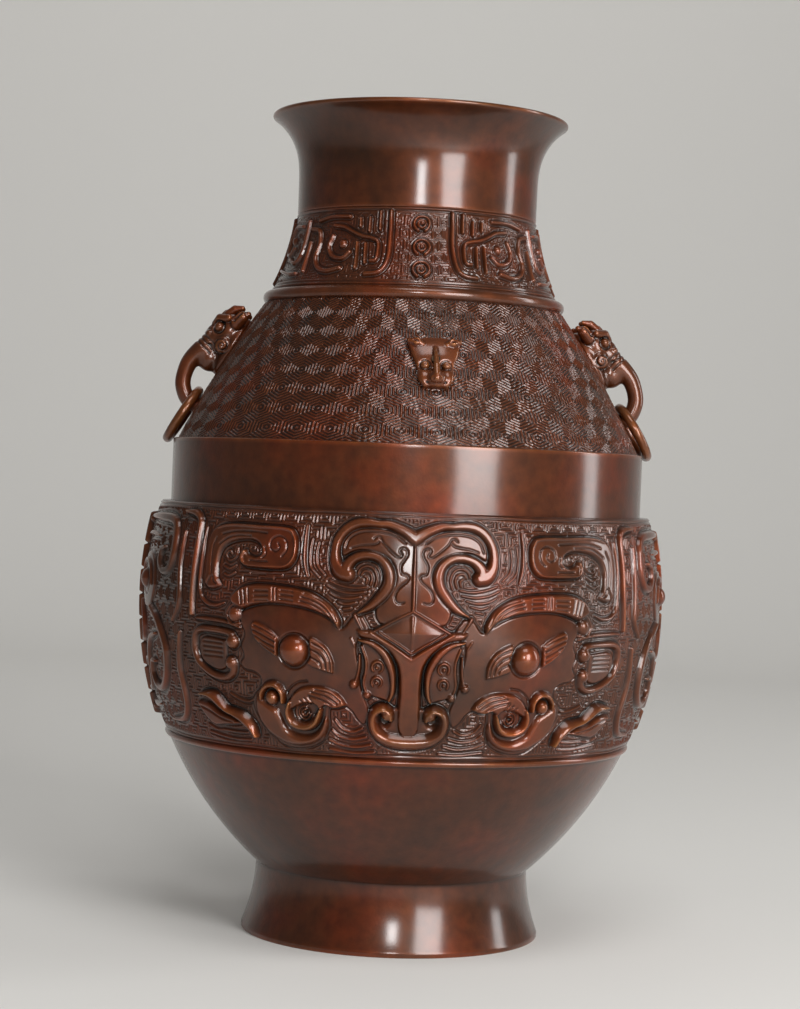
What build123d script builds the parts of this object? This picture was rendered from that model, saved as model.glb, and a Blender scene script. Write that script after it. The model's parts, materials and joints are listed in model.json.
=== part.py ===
from build123d import *
from math import cos, hypot, radians, sin
import os

# Bronze hu vessel in millimetres. It stands on z = 0 with its axis on Z, its front towards -Y
# and its two ring handles on the X axis.

# Heights of the zones, from the table up
FOOT_HEIGHT = 24.8
LOWER_BELLY_HEIGHT = 45.8
LOWER_BEAD_HEIGHT = 2.2
MASK_BAND_HEIGHT = 83.4
COLLAR_HEIGHT = 22.8
SHOULDER_HEIGHT = 51.0
NECK_BEAD_HEIGHT = 4.3
NECK_BAND_HEIGHT = 29.0
MOUTH_HEIGHT = 36.7

# Outer radii of the casting
FOOT_RADIUS = 54.8
FOOT_WAIST_RADIUS = 50.2
LOWER_BELLY_RADIUS = 84.0
MASK_BAND_BASE_RADIUS = 84.8
MASK_BAND_TOP_RADIUS = 89.6
COLLAR_RADIUS = 86.6
SHOULDER_BASE_RADIUS = 84.6
NECK_BEAD_BASE_RADIUS = 54.6
NECK_BAND_BASE_RADIUS = 52.3
NECK_RADIUS = 44.1
LIP_RADIUS = 54.6

# How far the middle of each zone's outline stands out from its chord
FOOT_HOLLOW = 1.1
LOWER_BELLY_SWELL = 3.0
MASK_BAND_SWELL = 6.7
SHOULDER_SWELL = 1.2
NECK_BAND_HOLLOW = 1.4

# Walls and edges of the casting
WALL = 3.0
FOOT_WALL = 4.2
FOOT_EDGE = 1.6
LIP_THICKNESS = 1.7
LIP_ANGLE = 58.0
NECK_STEP = 0.5

# Bottom plate, let in from below against a ledge and sealed with solder
LEDGE_DROP = 3.2
LEDGE_WIDTH = 3.6
PLATE_THICKNESS = 2.6
PLATE_CLEARANCE = 0.1
SOLDER_LEG = 2.0
FOOT_BORE_DEPTH = 4.0

# Beast-head handles: seat height, then places up the wall and out from it
HANDLE_SEAT_HEIGHT = 205.0
LOOP_DROP = 7.6
LOOP_STANDOFF = 1.2
LOOP_RADIUS = 8.4
LOOP_WIRE = 5.8
SKULL_UP = 14.6
SKULL_OUT = 4.4
SKULL_RADIUS = 6.2
SKULL_SPREAD = 1.8
SNOUT_UP = 10.4
SNOUT_OUT = 7.6
SNOUT_RADIUS = 3.9
JAW_UP = 4.8
JAW_OUT = 5.0
JAW_RADIUS = 4.8
JAW_SPREAD = 1.6
EAR_UP = 21.0
EAR_OUT = 2.8
EAR_RADIUS = 2.9
EAR_SPREAD = 4.6
EYE_UP = 13.6
EYE_OUT = 8.9
EYE_RADIUS = 1.7
EYE_SPREAD = 4.4

# Loose rings
RING_RADIUS = 10.4
RING_WIRE = 3.6
RING_CLEARANCE = 0.3
BAR_CLEARANCE = 0.6

# Small beast heads on the shoulder, set a little off the mask's centre line
HEAD_SEAT_HEIGHT = 206.5
HEAD_OFFSET_ANGLE = 4.2
HEAD_LENGTH = 19.6
HEAD_TOP_WIDTH = 19.2
HEAD_MUZZLE_WIDTH = 8.6
HEAD_THICKNESS = 4.0
HEAD_TAPER = 0.88
MUZZLE_RADIUS = 4.2
MUZZLE_DROP = 4.8
RIDGE_RADIUS = 1.9
HEAD_EAR_RADIUS = 2.6
HEAD_EYE_RADIUS = 1.4
HEAD_EYE_SPREAD = 4.4
HEAD_EYE_UP = 1.6

# Rivets through the wall
RIVET_RADIUS = 1.5
RIVET_CLEARANCE = 0.05
RIVET_REACH = 4.0
RIVET_HEAD_RADIUS = 3.2
RIVET_HEAD_HEIGHT = 1.4
SEAT_SINK = 3.0

# Cast ornament: heights over its band and widths of the ribs
RELIEF_SINK = 1.0
FACE_RELIEF = 0.9
RELIEF = 1.7
HIGH_RELIEF = 2.9
NECK_RELIEF = 1.1
HORN_WIDTH = 3.8
BROW_WIDTH = 6.0
BODY_WIDTH = 3.8
TAIL_WIDTH = 2.9
RIM_WIDTH = 2.2
NOSE_WIDTH = 8.2
SNOUT_WIDTH = 4.2
FLANGE_WIDTH = 4.8
NECK_RIB_WIDTH = 1.7
ROUNDEL_RADIUS = 3.1
MASK_EYE_RADIUS = 5.4
MASK_EYE_STAND = 3.6
MASK_BALL_RADIUS = 2.9
MASK_BALL_STAND = 2.6

# Main forms of the ornament on one quarter of the vessel, which the other quarters mirror. A place is
# degrees round from a mask's centre line and hundredths of the way up the band.
MASK_FACE = [
    (14.3, 53), (20.3, 59), (26.3, 61), (31, 61), (37, 57.5),
    (36.3, 48), (37, 43), (37.6, 36), (32.5, 30),
    (34.6, 22.5), (33.4, 12), (27.5, 3.6), (20.3, 5), (17.2, 14.5), (12.3, 20), (9.8, 29), (10.7, 38),
]
MASK_LOZENGE = [(0, 60.8), (8.3, 51.8), (0, 41), (-8.3, 51.8)]
MASK_RIBS = [
    # horns, brow, cheek leaf, jaw and tail of the mask
    (HORN_WIDTH, RELIEF, [
        (0, 89.5), (5.4, 94.5), (10, 95), (14.6, 92), (16.4, 83.5), (15, 75.5), (12.5, 74),
    ]),
    (HORN_WIDTH, RELIEF, [(10, 60), (6.6, 66), (5, 72), (5.8, 79), (9, 82.3), (12.2, 81)]),
    (BROW_WIDTH, RELIEF, [(15.5, 55.5), (18.5, 60.5), (24, 64), (31, 65), (36, 63), (39, 60.5)]),
    (RIM_WIDTH, RELIEF, [(10.4, 48.7), (6.1, 44.7), (3.8, 36.6), (3.7, 27.5)]),
    (RIM_WIDTH, RELIEF, [(9.8, 46), (9.1, 38), (9.4, 31.5), (8.2, 27)]),
    (BODY_WIDTH, RELIEF, [(13.4, 23), (16.7, 26.4), (21, 27), (24.2, 23.6)]),
    (TAIL_WIDTH, RELIEF, [(25.4, 20.6), (25.7, 16.5), (23.2, 12.2), (20.3, 13.7), (19.3, 18)]),
    (RIM_WIDTH, RELIEF, [(17.5, 16.4), (19.4, 7.7), (24, 4.6), (29.2, 6.4)]),
    (TAIL_WIDTH, RELIEF, [(27.2, 23.5), (28.6, 28.4), (30.8, 27.8), (31.6, 24)]),
    (TAIL_WIDTH, RELIEF, [(35.2, 8), (37.6, 13.8), (41.8, 16.5), (45.7, 21.3), (48.3, 22.4)]),
    # ear, coiled body and bar beside it
    (TAIL_WIDTH, RELIEF, [
        (39, 45.5), (43, 48.3), (48.9, 48), (51, 40.4), (48.3, 32.6), (43.6, 29.4), (39.6, 32),
    ]),
    (BODY_WIDTH, RELIEF, [
        (37, 76.7), (32.8, 76.5), (28.4, 76.8), (25.7, 81), (25.8, 88.4),
        (28.6, 91.7), (35.8, 92), (42, 91.6),
        (45.6, 88.4), (46.1, 78.2), (44.6, 71),
    ]),
    (BODY_WIDTH, RELIEF, [(34.4, 83.2), (38.8, 83.6), (42.9, 80)]),
    (RIM_WIDTH, RELIEF, [(51.9, 54.2), (51.9, 92.6)]),
    # dragon at the side
    (BODY_WIDTH, RELIEF, [
        (85.3, 92.6), (79, 92.8), (72.8, 92.8), (64.8, 92), (61.7, 86.6),
        (61.6, 78.2), (63.9, 71.4), (67.1, 71.4),
        (68.3, 77.6),
    ]),
    (TAIL_WIDTH, RELIEF, [(72.6, 63.8), (74.6, 72.2), (78.2, 74.6), (82.4, 71.6), (83.6, 65.6)]),
    (BODY_WIDTH, RELIEF, [
        (72.8, 54.2), (67.7, 48.4), (64.1, 38.6), (64.6, 27.8), (68, 21.4), (72.6, 21), (74.4, 27.8),
    ]),
    (TAIL_WIDTH, RELIEF, [
        (69.8, 43.4), (74.6, 40.4), (77.2, 32.6), (78.2, 22.4), (81.8, 18.2), (85.9, 18.5),
    ]),
    (TAIL_WIDTH, RELIEF, [(84.7, 56.1), (81.5, 48.8), (81.8, 41), (85.1, 38.4)]),
    (TAIL_WIDTH, RELIEF, [(56.7, 45.8), (57.8, 31.4), (57.1, 17), (60, 9.4), (65.6, 8)]),
    (RIM_WIDTH, RELIEF, [(57.7, 59), (57.7, 87.8)]),
]
MASK_HIGH_RIBS = [
    (NOSE_WIDTH, HIGH_RELIEF, [(0, 13.5), (0, 45)]),
    (SNOUT_WIDTH, HIGH_RELIEF, [
        (3.2, 19), (5.4, 21.8), (7.3, 18), (6.9, 12.7), (4.2, 9), (0, 7.5), (-1, 7.6),
    ]),
    (FLANGE_WIDTH, HIGH_RELIEF, [(90, 8), (90, 92)]),
]
MASK_EYES = [(24.4, 42.7), (78.2, 66.2)]
MASK_BALLS = [(38.6, 55.8), (39.4, 44.5), (39.8, 35.4)]
NECK_ROUNDELS = [21.8, 49.7, 79]
NECK_RIBS = [
    [(14.1, 92), (13.7, 54), (14.4, 30), (17.1, 17), (22.6, 14.5)],
    [(20.7, 31), (18.7, 43.8), (20.1, 57.2), (26.8, 61.7), (34.1, 70.7), (42, 75.5)],
    [(31.7, 41.7), (35.4, 34.1), (40.2, 36.9), (43.4, 48.6), (42.2, 62.4)],
    [(34.9, 21.7), (41.5, 18.3), (47.1, 23.8), (50, 36.9), (49.5, 54.1), (52, 70), (57.8, 73.4)],
    [(61.2, 83.8), (61.7, 43.8), (65.6, 31.4), (71.5, 36.2)],
    [(67, 78.3), (75.6, 79), (80, 65.9), (79.3, 46.6), (74.9, 42.4)],
    [(90, 9), (90, 92)],
]

# Levels of the zones' borders
LOWER_BELLY_TOP = FOOT_HEIGHT + LOWER_BELLY_HEIGHT
MASK_BAND_BASE = LOWER_BELLY_TOP + LOWER_BEAD_HEIGHT
COLLAR_BASE = MASK_BAND_BASE + MASK_BAND_HEIGHT
SHOULDER_BASE = COLLAR_BASE + COLLAR_HEIGHT
NECK_BEAD_BASE = SHOULDER_BASE + SHOULDER_HEIGHT
NECK_BAND_BASE = NECK_BEAD_BASE + NECK_BEAD_HEIGHT
MOUTH_BASE = NECK_BAND_BASE + NECK_BAND_HEIGHT
VESSEL_HEIGHT = MOUTH_BASE + MOUTH_HEIGHT

PLATE_TOP = FOOT_HEIGHT - LEDGE_DROP
PLATE_RADIUS = FOOT_WAIST_RADIUS - FOOT_WALL
PLATE_BORE = PLATE_RADIUS + PLATE_CLEARANCE
PLATE_UNDERSIDE = PLATE_TOP - PLATE_THICKNESS


def bulged(start, end, bulge):
    """Arc between two outline points, going up, whose middle stands out from the chord by bulge."""
    start, end = Vector(*start), Vector(*end)
    along = (end - start).normalized()
    middle = (start + end) * 0.5
    return ThreePointArc(start, middle + Vector(along.Y, -along.X) * bulge, end)


def inward(edge, share):
    """Point one wall inside an outline edge that goes up."""
    point, along = edge @ share, (edge % share).normalized()
    return (point.X - WALL * along.Y, point.Y + WALL * along.X)


def flare(neck_radius, end):
    """Arc of the mouth: it leaves the neck upright and reaches end at the lip's angle."""
    radius = (end[0] - neck_radius) / (1 - cos(radians(LIP_ANGLE)))
    start = (neck_radius, end[1] - radius * sin(radians(LIP_ANGLE)))
    half = radians(LIP_ANGLE) / 2
    middle = (neck_radius + radius * (1 - cos(half)), start[1] + radius * sin(half))
    return start, ThreePointArc(start, middle, end)


# Outline of the casting, from the foot up, as radius and height
foot_flare = bulged((FOOT_RADIUS, FOOT_EDGE), (FOOT_WAIST_RADIUS, FOOT_HEIGHT), -FOOT_HOLLOW)
lower_belly = bulged(
    (FOOT_WAIST_RADIUS, FOOT_HEIGHT), (LOWER_BELLY_RADIUS, LOWER_BELLY_TOP), LOWER_BELLY_SWELL
)
lower_bead = bulged(
    (LOWER_BELLY_RADIUS, LOWER_BELLY_TOP),
    (MASK_BAND_BASE_RADIUS, MASK_BAND_BASE),
    LOWER_BEAD_HEIGHT / 2,
)
mask_band = bulged(
    (MASK_BAND_BASE_RADIUS, MASK_BAND_BASE), (MASK_BAND_TOP_RADIUS, COLLAR_BASE), MASK_BAND_SWELL
)
collar = Line((COLLAR_RADIUS, COLLAR_BASE), (COLLAR_RADIUS, SHOULDER_BASE))
shoulder = bulged(
    (SHOULDER_BASE_RADIUS, SHOULDER_BASE), (NECK_BEAD_BASE_RADIUS, NECK_BEAD_BASE), SHOULDER_SWELL
)
neck_bead = bulged(
    (NECK_BEAD_BASE_RADIUS, NECK_BEAD_BASE),
    (NECK_BAND_BASE_RADIUS, NECK_BAND_BASE),
    NECK_BEAD_HEIGHT / 2,
)
neck_band = bulged(
    (NECK_BAND_BASE_RADIUS, NECK_BAND_BASE), (NECK_RADIUS - NECK_STEP, MOUTH_BASE), -NECK_BAND_HOLLOW
)

# Round nose of the lip, between the outer and the inner flare
lip_half = LIP_THICKNESS / 2
lip_centre = (LIP_RADIUS - lip_half, VESSEL_HEIGHT - lip_half)
lip_across = (lip_half * cos(radians(LIP_ANGLE)), lip_half * sin(radians(LIP_ANGLE)))
lip_under = (lip_centre[0] + lip_across[0], lip_centre[1] - lip_across[1])
lip_inner = (lip_centre[0] - lip_across[0], lip_centre[1] + lip_across[1])
lip_tip = (lip_centre[0] + lip_across[1], lip_centre[1] + lip_across[0])
outer_flare_start, outer_flare = flare(NECK_RADIUS, lip_under)
inner_flare_start, inner_flare = flare(NECK_RADIUS - WALL, lip_inner)

outer_edges = [
    Line((FOOT_RADIUS, 0), (FOOT_RADIUS, FOOT_EDGE)),
    foot_flare,
    lower_belly,
    lower_bead,
    mask_band,
    Line(mask_band @ 1, collar @ 0),
    collar,
    Line(collar @ 1, shoulder @ 0),
    shoulder,
    neck_bead,
    neck_band,
    Line(neck_band @ 1, (NECK_RADIUS, MOUTH_BASE)),
    Line((NECK_RADIUS, MOUTH_BASE), outer_flare_start),
    outer_flare,
    ThreePointArc(lip_under, lip_tip, lip_inner),
]

# Inside of the casting, from the neck down to the opening in its floor
inner_neck = (NECK_RADIUS - WALL, MOUTH_BASE)
inner_points = [
    inner_neck,
    inward(neck_band, 0.5),
    inward(shoulder, 0.95),
    inward(shoulder, 0.5),
    inward(shoulder, 0.1),
    inward(collar, 0.4),
    inward(mask_band, 0.7),
    inward(mask_band, 0.35),
    inward(lower_belly, 0.9),
    inward(lower_belly, 0.5),
    inward(lower_belly, 0.0),
]
floor_edge = inner_points[-1]
FLOOR_OPENING = PLATE_RADIUS - LEDGE_WIDTH
inner_edges = [
    inner_flare,
    Line(inner_flare_start, inner_neck),
    Spline(*inner_points),
    Line(floor_edge, (FLOOR_OPENING, floor_edge[1])),
    Line((FLOOR_OPENING, floor_edge[1]), (FLOOR_OPENING, PLATE_TOP)),
    Line((FLOOR_OPENING, PLATE_TOP), (PLATE_BORE, PLATE_TOP)),
    Line((PLATE_BORE, PLATE_TOP), (PLATE_BORE, PLATE_UNDERSIDE - FOOT_BORE_DEPTH)),
    Line((PLATE_BORE, PLATE_UNDERSIDE - FOOT_BORE_DEPTH), (FOOT_RADIUS - FOOT_WALL, 0)),
    Line((FOOT_RADIUS - FOOT_WALL, 0), (FOOT_RADIUS, 0)),
]


def turned(edges):
    """Solid of revolution about Z of a closed outline drawn as radius and height."""
    return revolve(Plane.XZ * make_face(edges), Axis.Z, 360)


def band_layer(zone, height):
    """Ring that lies on a band of the outline, from a little inside the wall to a height over it."""
    arcs = []
    for offset in (height, -RELIEF_SINK):
        ends = []
        for share in (0.0, 0.5, 1.0):
            point, along = zone @ share, (zone % share).normalized()
            ends.append(Vector(point.X + offset * along.Y, point.Y - offset * along.X))
        arcs.append(ThreePointArc(*ends))
    outer, inner = arcs
    return turned([outer, Line(outer @ 1, inner @ 1), inner, Line(inner @ 0, outer @ 0)])


def facing_plane(angle):
    """Upright plane through the axis that faces an angle round from the front."""
    across = Vector(cos(radians(angle)), sin(radians(angle)), 0)
    return Plane((0, 0, 0), x_dir=across, z_dir=(across.Y, -across.X, 0))


def flat_places(zone, places, facing):
    """Places of a band as seen straight on from an angle, as across and up."""
    flat = []
    for degrees, hundredths in places:
        point = zone @ (hundredths / 100)
        flat.append(Vector(point.X * sin(radians(degrees - facing)), point.Y))
    return flat


def rib_face(line, width):
    """Face of a rib of even width along a line of places."""
    path = Spline(*line) if len(line) > 2 else Line(*line)
    steps = len(line) if len(line) > 2 else 1
    left, right = [], []
    for step in range(steps + 1):
        point, along = path @ (step / steps), (path % (step / steps)).normalized()
        side = Vector(-along.Y, along.X) * (width / 2)
        left.append(point + side)
        right.insert(0, point - side)
    sides = [Spline(*left), Spline(*right)] if len(line) > 2 else [Line(*left), Line(*right)]
    return make_face(sides + [Line(left[-1], right[0]), Line(right[-1], left[0])])


def raised(zone, layer, places, face_of):
    """Form that stands on a band, cut from the band's layer by its own outline seen straight on."""
    facing = (max(place[0] for place in places) + min(place[0] for place in places)) / 2
    face = face_of(flat_places(zone, places, facing))
    return facing_plane(facing) * extrude(face, 2 * MASK_BAND_TOP_RADIUS) & layer


def ball(zone, place, radius, stand):
    """Round boss that stands out of a band."""
    point = zone @ (place[1] / 100)
    plane = facing_plane(place[0])
    return plane * (Pos(0, point.Y, point.X + stand - radius) * Sphere(radius))


def ornament():
    """Main forms of the mask band and the neck band on the +X half of the vessel."""
    layers = {height: band_layer(mask_band, height) for height in (FACE_RELIEF, RELIEF, HIGH_RELIEF)}
    neck_layer = band_layer(neck_band, NECK_RELIEF)
    face_of = lambda line: make_face(Spline(*line, periodic=True))
    quarter = [raised(mask_band, layers[FACE_RELIEF], MASK_FACE, face_of)]
    for width, height, places in MASK_RIBS + MASK_HIGH_RIBS:
        quarter.append(raised(mask_band, layers[height], places, lambda line: rib_face(line, width)))
    for places in NECK_RIBS:
        quarter.append(raised(neck_band, neck_layer, places, lambda line: rib_face(line, NECK_RIB_WIDTH)))
    quarter += [ball(mask_band, place, MASK_EYE_RADIUS, MASK_EYE_STAND) for place in MASK_EYES]
    quarter += [ball(mask_band, place, MASK_BALL_RADIUS, MASK_BALL_STAND) for place in MASK_BALLS]
    lozenge_of = lambda line: make_face(Polyline(*line, close=True))
    quarter.append(raised(mask_band, layers[RELIEF], MASK_LOZENGE, lozenge_of))
    for hundredths in NECK_ROUNDELS:
        point = neck_band @ (hundredths / 100)
        disc = facing_plane(0) * Pos(0, point.Y, point.X) * Cylinder(ROUNDEL_RADIUS, point.X)
        quarter.append(disc & neck_layer)
    half_space = Pos(VESSEL_HEIGHT / 2, 0, VESSEL_HEIGHT / 2) * Box(*3 * [VESSEL_HEIGHT])
    forms = []
    for solid in quarter + [mirror(solid, about=Plane.XZ) for solid in quarter]:
        forms += (solid & half_space).solids() if solid.bounding_box().min.X < RELIEF_SINK else [solid]
    return forms


def shoulder_seat(height, angle):
    """Frame on the shoulder: x across, y up the wall, z out of it. Angle 0 is the front, 90 is +X."""
    low, high = 0.0, 1.0
    for _ in range(50):
        middle = (low + high) / 2
        if (shoulder @ middle).Y < height:
            low = middle
        else:
            high = middle
    point, along = shoulder @ low, (shoulder % low).normalized()
    across = Vector(cos(radians(angle)), sin(radians(angle)), 0)
    radial = Vector(across.Y, -across.X, 0)
    out = radial * along.Y + Vector(0, 0, -along.X)
    return Plane(radial * point.X + Vector(0, 0, point.Y), x_dir=across, z_dir=out)


def pair(solid, spread):
    """Two copies of a solid, spread to both sides of the middle."""
    return Pos(-spread, 0, 0) * solid + Pos(spread, 0, 0) * solid


def rivet_hole(up):
    """Clearance cylinder of a rivet from inside the vessel into the fitting, in a seat's frame."""
    depth = 2 * WALL + RIVET_HEAD_HEIGHT
    length = depth + RIVET_REACH + RIVET_CLEARANCE
    return Pos(0, up, length / 2 - depth) * Cylinder(RIVET_RADIUS + RIVET_CLEARANCE, length)


def rivet(seat, up, wall):
    """Rivet in a seat's frame, with its head peened against the inside of the wall."""
    inner = WALL + RIVET_HEAD_HEIGHT
    length = inner + RIVET_REACH
    shank = seat * (Pos(0, up, length / 2 - inner) * Cylinder(RIVET_RADIUS, length))
    head = seat * (Pos(0, up, -inner / 2) * Cylinder(RIVET_HEAD_RADIUS, inner))
    return shank + (head - wall).solids().sort_by(SortBy.VOLUME)[-1]


def beast_handle(seat, outside):
    """Beast head with its trunk curled into a loop, seated on the shoulder."""
    head = pair(Pos(0, SKULL_UP, SKULL_OUT) * Sphere(SKULL_RADIUS), SKULL_SPREAD)
    head += Pos(0, SNOUT_UP, SNOUT_OUT) * Sphere(SNOUT_RADIUS)
    head += pair(Pos(0, JAW_UP, JAW_OUT) * Sphere(JAW_RADIUS), JAW_SPREAD)
    head += pair(Pos(0, EAR_UP, EAR_OUT) * Sphere(EAR_RADIUS), EAR_SPREAD)
    head += pair(Pos(0, EYE_UP, EYE_OUT) * Sphere(EYE_RADIUS), EYE_SPREAD)
    loop = Pos(0, -LOOP_DROP, LOOP_STANDOFF) * Rot(0, 90, 0) * Torus(LOOP_RADIUS, LOOP_WIRE / 2)
    blank = head + loop - rivet_hole(SKULL_UP) - rivet_hole(JAW_UP)
    return seat * blank - outside


def trapezium(height, scale):
    """Outline of the small head at a height above its seat, wide at the brow, narrow at the muzzle."""
    half = HEAD_LENGTH / 2 * scale
    brow = HEAD_TOP_WIDTH / 2 * scale
    muzzle = HEAD_MUZZLE_WIDTH / 2 * scale
    corners = [(-muzzle, -half), (muzzle, -half), (brow, half), (-brow, half)]
    return Pos(0, 0, height) * make_face(Polyline(*corners, close=True))


def beast_head(seat, outside):
    """Small beast head: a tapered face plate with muzzle, snout ridge, ears and eyes."""
    plate = loft([trapezium(-SEAT_SINK, 1.0), trapezium(HEAD_THICKNESS, HEAD_TAPER)])
    muzzle = Pos(0, -MUZZLE_DROP, HEAD_THICKNESS / 2) * Sphere(MUZZLE_RADIUS)
    ridge_length = HEAD_LENGTH * HEAD_TAPER / 2
    ridge = Pos(0, 0, HEAD_THICKNESS) * Rot(90, 0, 0) * Cylinder(RIDGE_RADIUS, ridge_length)
    ear_up = HEAD_LENGTH / 2 - HEAD_EAR_RADIUS / 2
    ears = pair(
        Pos(0, ear_up, HEAD_THICKNESS / 2) * Sphere(HEAD_EAR_RADIUS),
        HEAD_TOP_WIDTH / 2 - HEAD_EAR_RADIUS / 2,
    )
    eyes = pair(Pos(0, HEAD_EYE_UP, HEAD_THICKNESS) * Sphere(HEAD_EYE_RADIUS), HEAD_EYE_SPREAD)
    return seat * (plate + muzzle + ridge + ears + eyes - rivet_hole(0)) - outside


def wall_gap(points):
    """Least distance from points, given as radius and height, to the vessel's outline near the rings."""
    outline = [edge @ (step / 40) for edge in (mask_band, collar, shoulder) for step in range(41)]
    return min(hypot(point[0] - wall.X, point[1] - wall.Y) for point in points for wall in outline)


def settled(gap, start, end, clearance):
    """Last whole way from the angle start towards end at which the ring's wire keeps its clearance."""
    least = RING_WIRE / 2 + clearance
    step = 1.0 if end > start else -1.0
    clear = start
    while clear != end and gap(clear + step) >= least:
        clear += step
    if clear == end:
        return end
    touching = clear + step
    for _ in range(20):
        middle = (clear + touching) / 2
        if gap(middle) < least:
            touching = middle
        else:
            clear = middle
    return clear


# The bar of the ring that lies in the loop: radius and height on the +X side
right_seat = shoulder_seat(HANDLE_SEAT_HEIGHT, 90)
left_seat = shoulder_seat(HANDLE_SEAT_HEIGHT, -90)
loop_centre = right_seat.from_local_coords(Vector(0, -LOOP_DROP, LOOP_STANDOFF))
bar_reach = LOOP_RADIUS - LOOP_WIRE / 2 - RING_WIRE / 2 - RING_CLEARANCE


def bar_place(angle):
    """Bar of the ring, pulled against the loop at an angle below level."""
    return (loop_centre.X + bar_reach * cos(radians(angle)), loop_centre.Z - bar_reach * sin(radians(angle)))


bar_angle = settled(lambda angle: wall_gap([bar_place(angle)]), 0.0, 90.0, BAR_CLEARANCE)
ring_bar = bar_place(bar_angle)


def ring_points(lean):
    """Points on the middle line of the hanging ring, as radius and height, for a lean from upright."""
    points = []
    for step in range(0, 360, 5):
        down = RING_RADIUS * (1 - cos(radians(step)))
        side = RING_RADIUS * sin(radians(step))
        reach = hypot(ring_bar[0] + down * sin(radians(lean)), side)
        points.append((reach, ring_bar[1] - down * cos(radians(lean))))
    return points


lean_angle = settled(lambda lean: wall_gap(ring_points(lean)), 90.0, 0.0, RING_CLEARANCE)


def hanging_ring():
    """Loose ring on the +X side, hanging from its bar and leaning on the collar."""
    ring = Torus(RING_RADIUS, RING_WIRE / 2)
    hung = Pos(0, 0, -RING_RADIUS) * Rot(0, 90, 0) * ring
    return Pos(ring_bar[0], 0, ring_bar[1]) * Rot(0, -lean_angle, 0) * hung


# The solids
wall_blank = turned(outer_edges + inner_edges)
outside = turned(
    outer_edges
    + [
        Line(lip_inner, (0, lip_inner[1])),
        Line((0, lip_inner[1]), (0, 0)),
        Line((0, 0), (FOOT_RADIUS, 0)),
    ]
)
front_seat = shoulder_seat(HEAD_SEAT_HEIGHT, HEAD_OFFSET_ANGLE)
back_seat = shoulder_seat(HEAD_SEAT_HEIGHT, 180 + HEAD_OFFSET_ANGLE)

half_section = Rot(0, 0, -90) * (Plane.XZ * make_face(outer_edges + inner_edges))
half_body = revolve(half_section, Axis.Z, 180).fuse(*ornament())
vessel_body = half_body.fuse(Rot(0, 0, 180) * half_body)
for seat in (left_seat, right_seat):
    for up in (SKULL_UP, JAW_UP):
        vessel_body -= seat * rivet_hole(up)
for seat in (front_seat, back_seat):
    vessel_body -= seat * rivet_hole(0)

base_plate = Pos(0, 0, PLATE_TOP - PLATE_THICKNESS / 2) * Cylinder(PLATE_RADIUS, PLATE_THICKNESS)
solder_corners = [
    (PLATE_BORE, PLATE_UNDERSIDE),
    (PLATE_BORE, PLATE_UNDERSIDE - SOLDER_LEG),
    (PLATE_BORE - SOLDER_LEG, PLATE_UNDERSIDE),
]
base_solder = turned(Polyline(*solder_corners, close=True).edges())
right_ring = hanging_ring()

parts = {
    "vessel_body": vessel_body,
    "base_plate": base_plate,
    "base_solder": base_solder,
    "left_handle": beast_handle(left_seat, outside),
    "right_handle": beast_handle(right_seat, outside),
    "left_handle_rivets": Compound([rivet(left_seat, up, wall_blank) for up in (SKULL_UP, JAW_UP)]),
    "right_handle_rivets": Compound([rivet(right_seat, up, wall_blank) for up in (SKULL_UP, JAW_UP)]),
    "left_ring": Rot(0, 0, 180) * right_ring,
    "right_ring": right_ring,
    "front_beast_head": beast_head(front_seat, outside),
    "back_beast_head": beast_head(back_seat, outside),
    "front_head_rivet": rivet(front_seat, 0, wall_blank),
    "back_head_rivet": rivet(back_seat, 0, wall_blank),
}

os.makedirs("parts", exist_ok=True)
for name, solid in parts.items():
    export_step(solid, f"parts/{name}.step")
print(f"height {VESSEL_HEIGHT:.2f}, ring bar at {ring_bar[0]:.3f}, {ring_bar[1]:.3f}, lean {lean_angle:.2f}")
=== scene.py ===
"""Looks of a cast bronze hu vessel with a mask band, a diapered shoulder and loose ring handles."""

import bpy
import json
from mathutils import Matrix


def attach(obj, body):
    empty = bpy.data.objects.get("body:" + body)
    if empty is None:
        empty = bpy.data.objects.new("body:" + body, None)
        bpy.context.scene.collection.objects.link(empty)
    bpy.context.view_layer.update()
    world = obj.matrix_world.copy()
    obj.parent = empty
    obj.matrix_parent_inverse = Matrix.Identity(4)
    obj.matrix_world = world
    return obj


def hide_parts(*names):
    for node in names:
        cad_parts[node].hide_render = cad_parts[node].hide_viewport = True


bl_info = {
    "name": "Bronze Hu Vessel",
    "version": (1, 0, 0),
    "blender": (4, 5, 0),
    "location": "View3D > Sidebar > Hu Vessel",
    "description": "Builds the ornament, fittings and finishes of a bronze hu vessel on its packed frame",
    "category": "Object",
}

import json
import math

import bpy
import numpy as np
from bpy.props import FloatProperty, FloatVectorProperty, IntProperty, PointerProperty
from bpy.types import Operator, Panel, PropertyGroup
from mathutils import Matrix, Vector

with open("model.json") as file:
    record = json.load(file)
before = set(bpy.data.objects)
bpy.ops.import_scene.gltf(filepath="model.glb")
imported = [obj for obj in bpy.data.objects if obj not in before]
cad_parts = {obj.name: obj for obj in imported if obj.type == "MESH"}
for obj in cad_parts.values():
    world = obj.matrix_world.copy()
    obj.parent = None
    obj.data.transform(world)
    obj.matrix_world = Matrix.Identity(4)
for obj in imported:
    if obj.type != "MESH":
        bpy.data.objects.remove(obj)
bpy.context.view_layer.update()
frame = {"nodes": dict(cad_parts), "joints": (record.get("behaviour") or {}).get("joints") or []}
MM = 0.001
SEED = 7
# Radii in millimetres at which the drawings of the two bands are laid round the vessel
MASK_UNROLL = 96.0
NECK_UNROLL = 47.0
# Length of a quarter of each drawing, and the heights over the table between which it lies
MASK_FIELD = (150.8, 72.8, 156.2)
NECK_FIELD = (73.8, 234.3, 263.3)


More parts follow.
